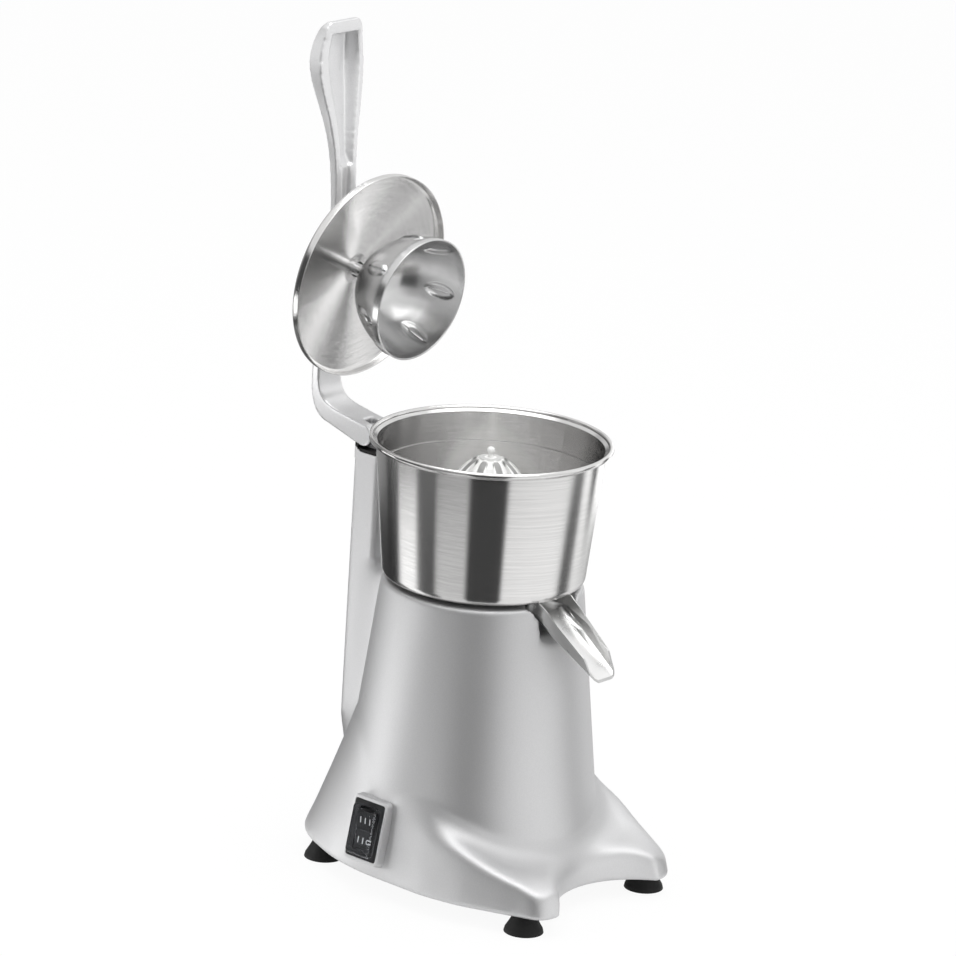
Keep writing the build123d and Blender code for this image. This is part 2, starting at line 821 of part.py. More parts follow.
for index, angle in enumerate(tie_bolt_angles, 1):
    turn = math.radians(angle)
    spot = (tie_bolt_circle * math.cos(turn), spindle_y + tie_bolt_circle * math.sin(turn))
    low = Plane((spot[0], spot[1], lower_shield_bottom))
    high = Plane((spot[0], spot[1], deck_top - motor_screw_head))
    with BuildPart() as tie_bolt:
        with BuildSketch(low):
            RegularPolygon(tie_bolt_head_radius, hex_sides)
        extrude(amount=-tie_bolt_head)
        with BuildSketch(low):
            Circle(tie_bolt_radius)
        extrude(amount=tie_bolt_top - lower_shield_bottom)
    tie_bolt.part.label = f"tie_bolt_{index}"
    export_step(tie_bolt.part, f"parts/tie_bolt_{index}.step")
    with BuildPart() as motor_screw:
        with BuildSketch(high):
            Circle(tie_bolt_head_radius)
        extrude(amount=motor_screw_head - side_gap)
        with BuildSketch(high):
            Circle(tie_bolt_radius)
        extrude(amount=-(deck_thick - motor_screw_head + motor_screw_grip))
    motor_screw.part.label = f"motor_screw_{index}"
    export_step(motor_screw.part, f"parts/motor_screw_{index}.step")

for name, bottom in (("bearing_lower", lower_shield_bottom), ("bearing_upper", upper_web_bottom)):
    with BuildPart() as bearing:
        with BuildSketch(floor.offset(bottom + bearing_lip)):
            Circle(bearing_radius)
            Circle(shaft_radius + running_gap, mode=Mode.SUBTRACT)
        extrude(amount=bearing_height)
    bearing.part.label = name
    export_step(bearing.part, f"parts/{name}.step")

with BuildPart() as shaft_seal:
    with BuildSketch(floor.offset(deck_bottom + seal_lip)):
        Circle(seal_radius)
        Circle(shaft_radius + running_gap, mode=Mode.SUBTRACT)
    extrude(amount=deck_thick - seal_lip)

shaft_seal.part.label = "shaft_seal"
export_step(shaft_seal.part, "parts/shaft_seal.step")

# Turning parts: shaft, rotor, fan and cone
with BuildPart() as motor_shaft:
    with BuildSketch(front):
        with BuildLine():
            Polyline(
                (0, shaft_bottom),
                (shaft_radius, shaft_bottom),
                (shaft_radius, fan_top),
                (collar_radius, fan_top),
                (collar_radius, fan_top + collar_height),
                (shaft_radius, fan_top + collar_height),
                (shaft_radius, rotor_bottom - collar_height),
                (collar_radius, rotor_bottom - collar_height),
                (collar_radius, rotor_bottom),
                (shaft_radius, rotor_bottom),
                (shaft_radius, shaft_top),
                (0, shaft_top),
                close=True,
            )
        make_face()
    revolve(axis=spindle)

motor_shaft.part.label = "motor_shaft"
export_step(motor_shaft.part, "parts/motor_shaft.step")

with BuildPart() as rotor:
    with BuildSketch(floor.offset(rotor_bottom)):
        Circle(rotor_radius)
        Circle(shaft_radius + slip_gap, mode=Mode.SUBTRACT)
    extrude(amount=rotor_top - rotor_bottom)

rotor.part.label = "rotor"
export_step(rotor.part, "parts/rotor.step")

with BuildPart() as fan:
    with BuildSketch(floor.offset(fan_top)):
        Circle(fan_radius)
    extrude(amount=-fan_disc_thick)
    with BuildSketch(floor.offset(fan_top)):
        Circle(fan_hub_radius)
        with PolarLocations(0, fan_blade_count):
            with Locations((fan_radius / 2, 0)):
                Rectangle(fan_radius - fan_disc_thick, fan_blade_thick)
    extrude(amount=shaft_bottom - fan_top)
    with BuildSketch(floor.offset(fan_top)):
        Circle(shaft_radius + slip_gap)
    extrude(amount=shaft_bottom - fan_top, mode=Mode.SUBTRACT)

fan.part.label = "fan"
export_step(fan.part, "parts/fan.step")

cone_points = list(zip(cone_profile_radii, cone_profile_heights))
groove_floor = []
for place, share in enumerate(groove_depth_shares):
    groove_floor.append(inset(cone_points, -groove_depth * share)[place])
with BuildPart() as cone:
    with BuildSketch(front):
        with BuildLine():
            Spline(*cone_points)
            Polyline(
                cone_points[-1],
                (cone_profile_radii[-1] - cone_skirt_thick, cone_profile_heights[-1]),
                (cone_hub_radius, cone_profile_heights[-1] + cone_skirt_thick),
                (cone_hub_radius, cone_hub_bottom),
                (cone_hub_bore, cone_hub_bottom),
                (cone_hub_bore, cone_hub_bore_top),
                (shaft_radius + slip_gap, cone_hub_bore_top),
                (shaft_radius + slip_gap, shaft_top),
                (0, shaft_top),
                (0, cone_profile_heights[0]),
                cone_points[0],
            )
        make_face()
    revolve(axis=spindle)
    for turn in range(groove_count):
        angle = 2 * math.pi * (turn + 0.5) / groove_count
        radial = Plane(
            origin=(0, spindle_y, 0),
            x_dir=(math.cos(angle), math.sin(angle), 0),
            z_dir=(math.sin(angle), -math.cos(angle), 0),
        )
        with BuildSketch(radial):
            with BuildLine():
                Polyline(
                    *groove_floor,
                    (groove_floor[-1][0], cone_profile_heights[-1] - overrun),
                    (cone_profile_radii[-1] + overrun, cone_profile_heights[-1] - overrun),
                    (cone_profile_radii[-1] + overrun, cone_profile_heights[0] + overrun),
                    (cone_profile_radii[0], cone_profile_heights[0] + overrun),
                    close=True,
                )
            make_face()
        extrude(amount=groove_width / 2, both=True, mode=Mode.SUBTRACT)
    with BuildSketch(floor.offset(cone_profile_heights[0] - cone_neck_radius)):
        Circle(cone_neck_radius)
    extrude(amount=cone_ball_height - cone_profile_heights[0] + cone_neck_radius)
    with Locations((0, spindle_y, cone_ball_height)):
        Sphere(cone_ball_radius)

cone.part.label = "cone"
export_step(cone.part, "parts/cone.step")

# Electrics inside the body
with BuildPart() as capacitor:
    with BuildSketch(floor.offset(plate_top)):
        with Locations((capacitor_reach * math.sqrt(2) / 2, capacitor_reach * math.sqrt(2) / 2)):
            Circle(capacitor_radius)
    extrude(amount=capacitor_height)
    fillet(capacitor.edges().group_by(Axis.Z)[-1], capacitor_round)

capacitor.part.label = "capacitor"
export_step(capacitor.part, "parts/capacitor.step")

with BuildPart() as terminal_block:
    with BuildSketch(floor.offset(plate_top)):
        with Locations((0, terminal_reach)):
            Rectangle(terminal_width, terminal_depth)
    extrude(amount=terminal_height)
    with BuildSketch(floor.offset(plate_top + terminal_height)):
        with Locations((0, terminal_reach)):
            with GridLocations(terminal_hole_pitch, terminal_hole_pitch, terminal_hole_count, 1):
                Circle(terminal_hole_radius)
    extrude(amount=-terminal_hole_depth, mode=Mode.SUBTRACT)

terminal_block.part.label = "terminal_block"
export_step(terminal_block.part, "parts/terminal_block.step")

with BuildPart() as cable_gland:
    with BuildSketch(gland_plane):
        Circle(gland_radius)
    extrude(amount=-gland_inner_length)
    with BuildSketch(gland_plane):
        RegularPolygon(gland_flange_radius, hex_sides)
    extrude(amount=gland_flange)
    with BuildSketch(gland_plane):
        Circle(gland_nose_radius)
    extrude(amount=gland_end)
    with BuildSketch(gland_plane.offset(gland_end)):
        Circle(gland_bore)
    extrude(amount=-gland_end - gland_inner_length, mode=Mode.SUBTRACT)

cable_gland.part.label = "cable_gland"
export_step(cable_gland.part, "parts/cable_gland.step")

# Switch: frame, body, rocker and clear boot
rocker_opening_width = rocker_width + 2 * side_gap
rocker_opening_height = rocker_height + 2 * rocker_swing
with BuildPart() as switch_frame:
    with BuildSketch(switch_plane):
        RectangleRounded(frame_width, frame_height, frame_round)
        Rectangle(rocker_opening_width, rocker_opening_height, mode=Mode.SUBTRACT)
    extrude(amount=frame_thick)

switch_frame.part.label = "switch_frame"
export_step(switch_frame.part, "parts/switch_frame.step")

axle_plane = Plane(
    origin=switch_plane.from_local_coords((0, 0, -rocker_axle_depth)),
    x_dir=switch_plane.y_dir,
    z_dir=switch_plane.x_dir,
)
with BuildPart() as switch_body:
    with BuildSketch(switch_plane):
        RectangleRounded(
            switch_hole_width - 2 * switch_body_gap, switch_hole_height - 2 * switch_body_gap, frame_round
        )
    extrude(amount=-switch_body_depth)
    with BuildSketch(switch_plane):
        Rectangle(rocker_opening_width, rocker_opening_height)
    extrude(amount=-rocker_pocket, mode=Mode.SUBTRACT)
    with BuildSketch(axle_plane):
        Circle(rocker_axle_radius + running_gap)
    extrude(amount=rocker_width / 2 + rocker_axle_length + side_gap, both=True, mode=Mode.SUBTRACT)

switch_body.part.label = "switch_body"
export_step(switch_body.part, "parts/switch_body.step")

rocker_turn = math.radians(rocker_tilt)
tilted_axle = Plane(
    origin=axle_plane.origin,
    x_dir=switch_plane.y_dir * math.cos(rocker_turn) + switch_plane.z_dir * math.sin(rocker_turn),
    z_dir=switch_plane.x_dir,
)
with BuildPart() as rocker:
    with BuildSketch(tilted_axle):
        with BuildLine():
            Polyline(
                (-rocker_height / 2, rocker_rise + rocker_axle_depth),
                (-rocker_height / 2 + rocker_foot_inset, -rocker_base),
                (rocker_height / 2 - rocker_foot_inset, -rocker_base),
                (rocker_height / 2, rocker_rise + rocker_axle_depth),
                (0, rocker_rise + rocker_axle_depth - rocker_dip),
                close=True,
            )
        make_face()
    extrude(amount=rocker_width / 2, both=True)
    with BuildSketch(tilted_axle):
        Circle(rocker_axle_radius)
    extrude(amount=rocker_width / 2 + rocker_axle_length, both=True)

rocker.part.label = "rocker"
export_step(rocker.part, "parts/rocker.step")

with BuildPart() as switch_boot:
    with BuildSketch(switch_plane.offset(frame_thick)):
        RectangleRounded(boot_width, boot_height, boot_round)
    extrude(amount=boot_rise)
    fillet(switch_boot.faces().sort_by(Axis.X)[0].edges(), boot_edge_round)
    with BuildSketch(switch_plane.offset(frame_thick)):
        RectangleRounded(boot_width - 2 * boot_thick, boot_height - 2 * boot_thick, boot_round - boot_thick)
    extrude(amount=boot_rise - boot_thick, mode=Mode.SUBTRACT)

switch_boot.part.label = "switch_boot"
export_step(switch_boot.part, "parts/switch_boot.step")

# Bowl set: gasket, bowl, strainer and spout
with BuildPart() as bowl_gasket:
    with BuildSketch(floor.offset(deck_top)):
        Circle(gasket_outer)
        Circle(gasket_inner, mode=Mode.SUBTRACT)
    extrude(amount=gasket_thick)

bowl_gasket.part.label = "bowl_gasket"
export_step(bowl_gasket.part, "parts/bowl_gasket.step")

bowl_foot = (bowl_bottom_radius, bowl_bottom)
bowl_inner_foot = (bowl_bottom_radius - bowl_thick, bowl_bottom + bowl_thick)
with BuildPart() as bowl:
    with BuildSketch(front) as bowl_section:
        with BuildLine():
            Polyline(
                (bowl_tube_radius - bowl_thick, bowl_bottom),
                bowl_foot,
                (bowl_wall_radius, bowl_wall_top),
                (bowl_wall_radius - bowl_thick, bowl_wall_top),
                bowl_inner_foot,
                (bowl_tube_radius, bowl_bottom + bowl_thick),
                (bowl_tube_radius, bowl_tube_top),
                (bowl_tube_radius - bowl_thick, bowl_tube_top),
                close=True,
            )
        make_face()
        fillet(bowl_section.vertices().sort_by_distance(bowl_foot)[0], bowl_corner)
        fillet(bowl_section.vertices().sort_by_distance(bowl_inner_foot)[0], bowl_corner - bowl_thick)
    revolve(axis=spindle)
    with BuildSketch(front):
        with Locations((rim_radius, rim_height)):
            Circle(rim_wire)
        with BuildLine():
            Polyline(
                (bowl_wall_radius - bowl_thick, bowl_wall_top - bowl_thick),
                (bowl_wall_radius, bowl_wall_top - 2 * bowl_thick),
                (rim_radius, rim_height - bowl_thick),
                (rim_radius, rim_height + bowl_thick),
                (bowl_wall_radius - bowl_thick, bowl_wall_top),
                close=True,
            )
        make_face()
    revolve(axis=spindle)
    with BuildSketch(floor.offset(bowl_bottom - overrun)):
        with Locations((0, -(outlet_front + outlet_rear) / 2)):
            Rectangle(outlet_width, outlet_front - outlet_rear)
    extrude(amount=2 * overrun, mode=Mode.SUBTRACT)

bowl.part.label = "bowl"
export_step(bowl.part, "parts/bowl.step")

with BuildPart() as strainer:
    with BuildSketch(front):
        with BuildLine():
            Polyline(
                (strainer_hub_radius - strainer_thick, bowl_bottom + bowl_thick),
                (strainer_hub_radius, bowl_bottom + bowl_thick),
                (strainer_hub_radius, strainer_floor),
                (strainer_floor_radius, strainer_floor),
                (strainer_rim_radius, strainer_rim),
                (strainer_rim_radius - strainer_thick, strainer_rim),
                (strainer_floor_radius - strainer_thick, strainer_floor + strainer_thick),
                (strainer_hub_radius - strainer_thick, strainer_floor + strainer_thick),
                close=True,
            )
        make_face()
    revolve(axis=spindle)
    with BuildSketch(floor.offset(strainer_floor - overrun)):
        with PolarLocations((strainer_slot_inner + strainer_slot_outer) / 2, strainer_slot_count):
            SlotOverall(strainer_slot_outer - strainer_slot_inner, strainer_slot_width)
    extrude(amount=2 * overrun, mode=Mode.SUBTRACT)

strainer.part.label = "strainer"
export_step(strainer.part, "parts/strainer.step")

spout_level_run = spout_bend - spout_depth * math.sin(spout_turn) - spout_back
spout_lip = [(-spout_bend - run, bowl_bottom - drop) for run, drop in zip(spout_lip_runs, spout_lip_drops)]
spout_rear = Plane(
    origin=(0, spindle_y - spout_bend + spout_level_run - spout_thick, bowl_bottom),
    x_dir=spout_plane.x_dir,
    z_dir=spout_plane.z_dir,
)
with BuildSketch(spout_plane) as channel_section:
    with Locations((0, -spout_depth / 2)):
        Rectangle(2 * spout_half_width, spout_depth)
    fillet(channel_section.vertices().group_by(Axis.Y)[0], spout_round)
    with BuildSketch(mode=Mode.PRIVATE) as channel_hollow:
        with Locations((0, (overrun - spout_depth + spout_thick) / 2)):
            Rectangle(2 * (spout_half_width - spout_thick), overrun + spout_depth - spout_thick)
        fillet(channel_hollow.vertices().group_by(Axis.Y)[0], spout_round - spout_thick)
    add(channel_hollow.sketch, mode=Mode.SUBTRACT)
with BuildPart() as spout:
    # Sloping channel that narrows to its end, then the level receiver under the bowl's outlet and its rear wall
    for place, half_width in ((0, spout_half_width), (spout_run, spout_end_half_width)):
        with BuildSketch(spout_plane.offset(place)) as outside:
            with Locations((0, -spout_depth / 2)):
                Rectangle(2 * half_width, spout_depth)
            fillet(outside.vertices().group_by(Axis.Y)[0], spout_round)
    loft()
    for place, half_width in ((0, spout_half_width), (spout_run, spout_end_half_width)):
        with BuildSketch(spout_plane.offset(place)) as inside:
            with Locations((0, (overrun - spout_depth + spout_thick) / 2)):
                Rectangle(2 * (half_width - spout_thick), overrun + spout_depth - spout_thick)
            fillet(inside.vertices().group_by(Axis.Y)[0], spout_round - spout_thick)
    loft(mode=Mode.SUBTRACT)
    extrude(channel_section.sketch, amount=spout_level_run, dir=(0, 1, 0))
    with BuildSketch(spout_rear) as rear_section:
        with Locations((0, -spout_depth / 2)):
            Rectangle(2 * spout_half_width, spout_depth)
        fillet(rear_section.vertices().group_by(Axis.Y)[0], spout_round)
    extrude(amount=spout_thick, dir=(0, 1, 0))
    # End cut to a lip
    with BuildSketch(side):
        with BuildLine():
            Polyline(
                *spout_lip,
                (spout_lip[-1][0], spout_lip[-1][1] - spout_depth),
                (spout_lip[-1][0] - spout_bend, spout_lip[-1][1] - spout_depth),
                (spout_lip[-1][0] - spout_bend, spout_lip[0][1]),
                close=True,
            )
        make_face()
    extrude(amount=spout_half_width + overrun, both=True, mode=Mode.SUBTRACT)

spout.part.label = "spout"
export_step(spout.part, "parts/spout.step")

# Stop pad on the column's top, its rear wedge under the raised arm
arm_turn = math.radians(arm_slope)


def underside(reach):
    return pivot_height - arm_underside / math.cos(arm_turn) + (reach - pivot_reach) * math.tan(arm_turn)


with BuildPart() as stop_pad:
    with BuildSketch(side):
        with BuildLine():
            Polyline(
                (column_front + pad_inset, column_top),
                (column_back - pad_inset, column_top),
                (column_back - pad_inset, underside(column_back - pad_inset) - stop_gap),
                (pad_step, underside(pad_step) - stop_gap),
                (pad_step, column_top + pad_thick),
                (column_front + pad_inset, column_top + pad_thick),
                close=True,
            )
        make_face()
    extrude(amount=column_half_width - pad_inset, both=True)
    with BuildSketch(floor.offset(column_top)):
        with Locations((0, pivot_reach)):
            Rectangle(2 * (lug_half_width + side_gap), 2 * (lug_radius + side_gap))
    extrude(amount=arm_underside, mode=Mode.SUBTRACT)

stop_pad.part.label = "stop_pad"
export_step(stop_pad.part, "parts/stop_pad.step")

# Press axis in the raised pose: it lies pivot_reach away from the pivot
press_turn = math.radians(press_tilt)
press_foot = (
    0,
    spindle_y + pivot_reach - pivot_reach * math.sin(press_turn),
    pivot_height + pivot_reach * math.cos(press_turn),
)
press_up = (0, math.cos(press_turn), math.sin(press_turn))
press_side = Plane(origin=press_foot, x_dir=(1, 0, 0), z_dir=(0, -press_up[2], press_up[1]))
press_axis = Axis(press_foot, press_up)
press_flat = Plane(origin=press_foot, x_dir=(1, 0, 0), z_dir=press_up)

# Hollow of the grip
with BuildPart() as grip_hollow:
    floor_line = [(behind(s), above(r)) for s, r in zip(hollow_setback_shares, hollow_rise_shares)]
    open_reach = floor_line[0][0] - hollow_reach
    with BuildSketch(side):
        with BuildLine():
            Spline(*floor_line)
            Polyline(
                floor_line[-1],
                (open_reach, floor_line[-1][1]),
                (open_reach, floor_line[0][1]),
                floor_line[0],
            )
        make_face()
    extrude(amount=max(half_widths), both=True)
    edge_right = [(width, above(rise)) for width, rise in zip(hollow_half_widths, hollow_rise_shares)]
    edge_left = [(-x, z) for x, z in edge_right]
    with BuildSketch(front):
        with BuildLine():
            Spline(*edge_right)
            Spline(*edge_left)
            Line(edge_right[0], edge_left[0])
            Line(edge_right[-1], edge_left[-1])
        make_face()
    extrude(amount=-grip_reach - overrun, mode=Mode.INTERSECT)

# Lever arm: side outline extruded, then trimmed to its front outline
channel_bottom = above(channel_bottom_share)
channel_top = above(channel_top_share)
arm_start = (pivot_reach + arm_underside * math.sin(arm_turn), pivot_height - arm_underside * math.cos(arm_turn))
arm_bend = (behind(arm_bend_share), underside(behind(arm_bend_share)))
back_line = [arm_bend]
back_line += [(behind(s), above(r)) for s, r in zip(bend_setback_shares, bend_rise_shares)]
back_line += [(behind(s), above(r)) for s, r in zip(back_setback_shares, back_rise_shares)]
front_line = [(behind(s), above(r)) for s, r in zip(front_setback_shares, front_rise_shares)]
fork_top = (pivot_reach, pivot_height + arm_topside)
with BuildPart() as lever_arm:
    with BuildSketch(side):
        with BuildLine():
            Line(arm_start, arm_bend)
            Spline(*back_line)
            Polyline(
                back_line[-1],
                (behind(grip_end_share), pivot_height + grip_rise),
                (behind(grip_front_share), pivot_height + grip_rise),
                front_line[0],
            )
            Spline(*front_line)
            Line(front_line[-1], fork_top)
            ThreePointArc(fork_top, (pivot_reach - arm_nose, pivot_height), arm_start)
        make_face()
    extrude(amount=max(half_widths) + overrun, both=True)
    width_right = [(width, above(rise)) for width, rise in zip(half_widths, width_rise_shares)]
    width_left = [(-x, z) for x, z in width_right]
    with BuildSketch(front):
        with BuildLine():
            Spline(*width_right)
            Spline(*width_left)
            Line(width_right[0], width_left[0])
            Polyline(
                width_right[-1],
                (grip_top_half_width, pivot_height + grip_rise),
                (-grip_top_half_width, pivot_height + grip_rise),
                width_left[-1],
            )
        make_face()
    extrude(amount=-grip_reach - overrun, mode=Mode.INTERSECT)
    add(grip_hollow.part, mode=Mode.SUBTRACT)
    with BuildSketch(side):
        with Locations((behind(channel_back_share) - hollow_reach / 2, (channel_bottom + channel_top) / 2)):
            Rectangle(hollow_reach, channel_top - channel_bottom)
    extrude(amount=channel_half_width, both=True, mode=Mode.SUBTRACT)
    # Boss and bore for the press rod
    with BuildSketch(press_flat.offset(disc_centre + disc_thick)):
        Circle(lever_boss_radius)
    extrude(amount=rod_head - disc_centre - 2 * disc_thick)
    with BuildSketch(press_flat.offset(disc_centre)):
        Circle(rod_radius + slip_gap)
    extrude(amount=rod_head - disc_centre, mode=Mode.SUBTRACT)
    # Fork slot and the pin's blind bore
    with BuildSketch(side):
        with Locations(((slot_rear + pivot_reach - arm_underside - overrun) / 2, pivot_height)):
            Rectangle(slot_rear - pivot_reach + arm_underside + overrun, 2 * (arm_underside + overrun))
    extrude(amount=lug_half_width + side_gap, both=True, mode=Mode.SUBTRACT)
    with BuildSketch(side.offset(-pin_blind)):
        with Locations((pivot_reach, pivot_height)):
            Circle(pin_radius + slip_gap)
    extrude(amount=pin_blind + column_half_width + overrun, mode=Mode.SUBTRACT)

lever_arm.part.label = "lever_arm"
export_step(lever_arm.part, "parts/lever_arm.step")

with BuildPart() as pivot_pin:
    with BuildSketch(side.offset(-pin_blind)):
        with Locations((pivot_reach, pivot_height)):
            Circle(pin_radius)
    extrude(amount=pin_blind + column_half_width - pad_inset)

pivot_pin.part.label = "pivot_pin"
export_step(pivot_pin.part, "parts/pivot_pin.step")

# Press: rod, splash disc, cup and button on one axis
with BuildPart() as press_rod:
    with BuildSketch(press_side):
        with BuildLine():
            Polyline(
                (button_stud_radius + slip_gap, rod_foot),
                (rod_radius, rod_foot),
                (rod_radius, disc_centre - rod_ring),
                (rod_ring_radius, disc_centre - rod_ring),
                (rod_ring_radius, disc_centre),
                (rod_radius, disc_centre),
                (rod_radius, rod_head),
                (0, rod_head),
                (0, rod_foot + button_stud),
                (button_stud_radius + slip_gap, rod_foot + button_stud),
                close=True,
            )
        make_face()
    revolve(axis=press_axis)

press_rod.part.label = "press_rod"
export_step(press_rod.part, "parts/press_rod.step")

disc_corner = (disc_radius, disc_edge + disc_wall)
disc_inner_corner = (disc_radius - disc_thick, disc_edge + disc_wall - disc_thick)
with BuildPart() as splash_disc:
    with BuildSketch(press_side) as disc_section:
        with BuildLine():
            Polyline(
                (rod_radius + slip_gap, disc_centre),
                (disc_flat_radius, disc_centre),
                disc_inner_corner,
                (disc_radius - disc_thick, disc_edge),
                (disc_radius, disc_edge),
                disc_corner,
                (disc_flat_radius, disc_centre + disc_thick),
                (rod_radius + slip_gap, disc_centre + disc_thick),
                close=True,
            )
        make_face()
        fillet(disc_section.vertices().sort_by_distance(disc_corner)[0], disc_round)
        fillet(disc_section.vertices().sort_by_distance(disc_inner_corner)[0], disc_round - disc_thick)
    revolve(axis=press_axis)

splash_disc.part.label = "splash_disc"
export_step(splash_disc.part, "parts/splash_disc.step")

cup_outside = [(radius, cup_mouth + rise) for radius, rise in zip(cup_radii, cup_rises)]
cup_outside.append((cup_flat_radius, cup_top))
cup_inside = inset(cup_outside, cup_thick)
cup_inside[0] = (cup_radii[0] - cup_thick, cup_mouth)
cup_inside[-1] = (cup_flat_radius, cup_top - cup_thick)
with BuildPart() as press_cup:
    with BuildSketch(press_side):
        with BuildLine():
            Spline(*cup_outside)
            Polyline(
                cup_outside[-1],
                (button_stud_radius + slip_gap, cup_top),
                (button_stud_radius + slip_gap, cup_top - cup_thick),
                cup_inside[-1],
            )
            Spline(*cup_inside)
            Line(cup_inside[0], cup_outside[0])
        make_face()
    revolve(axis=press_axis)

press_cup.part.label = "press_cup"
export_step(press_cup.part, "parts/press_cup.step")

with BuildPart() as cup_button:
    with BuildSketch(press_flat.offset(cup_top - cup_thick)):
        Circle(button_radius)
    extrude(amount=-button_thick)
    with BuildSketch(press_flat.offset(cup_top - cup_thick)):
        Circle(button_stud_radius)
    extrude(amount=rod_foot + button_stud - cup_top + cup_thick)

cup_button.part.label = "cup_button"
export_step(cup_button.part, "parts/cup_button.step")
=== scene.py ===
import json
import math

import bmesh
import bpy
import numpy as np
from mathutils import Matrix, Vector


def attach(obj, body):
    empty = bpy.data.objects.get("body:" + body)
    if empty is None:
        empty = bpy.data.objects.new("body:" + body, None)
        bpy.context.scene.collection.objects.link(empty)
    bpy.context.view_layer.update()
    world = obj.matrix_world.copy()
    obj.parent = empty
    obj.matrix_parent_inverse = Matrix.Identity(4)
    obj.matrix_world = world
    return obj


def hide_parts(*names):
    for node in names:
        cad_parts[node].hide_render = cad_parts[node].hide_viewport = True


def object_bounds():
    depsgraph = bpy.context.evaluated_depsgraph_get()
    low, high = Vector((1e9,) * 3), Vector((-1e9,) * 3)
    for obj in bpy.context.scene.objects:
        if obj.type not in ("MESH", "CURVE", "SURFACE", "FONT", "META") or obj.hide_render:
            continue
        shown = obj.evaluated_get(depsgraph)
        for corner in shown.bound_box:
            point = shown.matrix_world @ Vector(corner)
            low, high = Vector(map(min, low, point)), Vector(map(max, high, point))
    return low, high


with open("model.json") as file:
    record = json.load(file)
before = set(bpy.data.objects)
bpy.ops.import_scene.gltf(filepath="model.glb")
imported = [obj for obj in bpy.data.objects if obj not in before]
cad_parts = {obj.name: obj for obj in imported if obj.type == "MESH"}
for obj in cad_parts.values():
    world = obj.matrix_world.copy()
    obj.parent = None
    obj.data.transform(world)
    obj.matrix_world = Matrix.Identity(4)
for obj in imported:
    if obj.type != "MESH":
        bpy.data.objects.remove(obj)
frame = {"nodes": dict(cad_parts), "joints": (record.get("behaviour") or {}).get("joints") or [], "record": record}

cad_low, cad_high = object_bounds()
nodes = frame["nodes"]
joints = {joint["name"]: joint for joint in frame["joints"]}
scene = bpy.context.scene

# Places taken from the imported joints, in metres
upright_axis = (0, 0, 1)
lever_pivot = Vector(joints["lever_hinge"]["pos_m"])
spindle = Vector(joints["cone_spin"]["pos_m"])
spindle.z = 0
cone_turn = math.radians(18)
press_tilt = math.radians(8)
press_axis = Vector((0, math.cos(press_tilt), math.sin(press_tilt)))
press_reach = lever_pivot.y - spindle.y
press_foot = lever_pivot + press_reach * Vector((0, -math.sin(press_tilt), math.cos(press_tilt)))


class Value:
    """A socket that can be used in sums."""

    def __init__(self, finish, socket):
        self.finish = finish
        self.socket = socket

    def __add__(self, other):
        return self.finish.maths("ADD", self, other)

    def __sub__(self, other):
        return self.finish.maths("SUBTRACT", self, other)

    def __rsub__(self, other):
        return self.finish.maths("SUBTRACT", other, self)

    def __mul__(self, other):
        return self.finish.maths("MULTIPLY", self, other)

    def __truediv__(self, other):
        return self.finish.maths("DIVIDE", self, other)

    def __rtruediv__(self, other):
        return self.finish.maths("DIVIDE", other, self)

    __radd__ = __add__
    __rmul__ = __mul__

    def smooth(self, low, high):
        settings = {"interpolation_type": "SMOOTHSTEP"}
        sockets = {"Value": self, "From Min": low, "From Max": high}
        return self.finish.node("ShaderNodeMapRange", settings, sockets)

    def window(self, rise, fall):
        """One between a rise and a fall, each a pair of places, and zero outside."""
        return self.smooth(*rise) * (1 - self.smooth(*fall))

    def part(self, name):
        return Value(self.finish, self.socket.node.outputs[name])


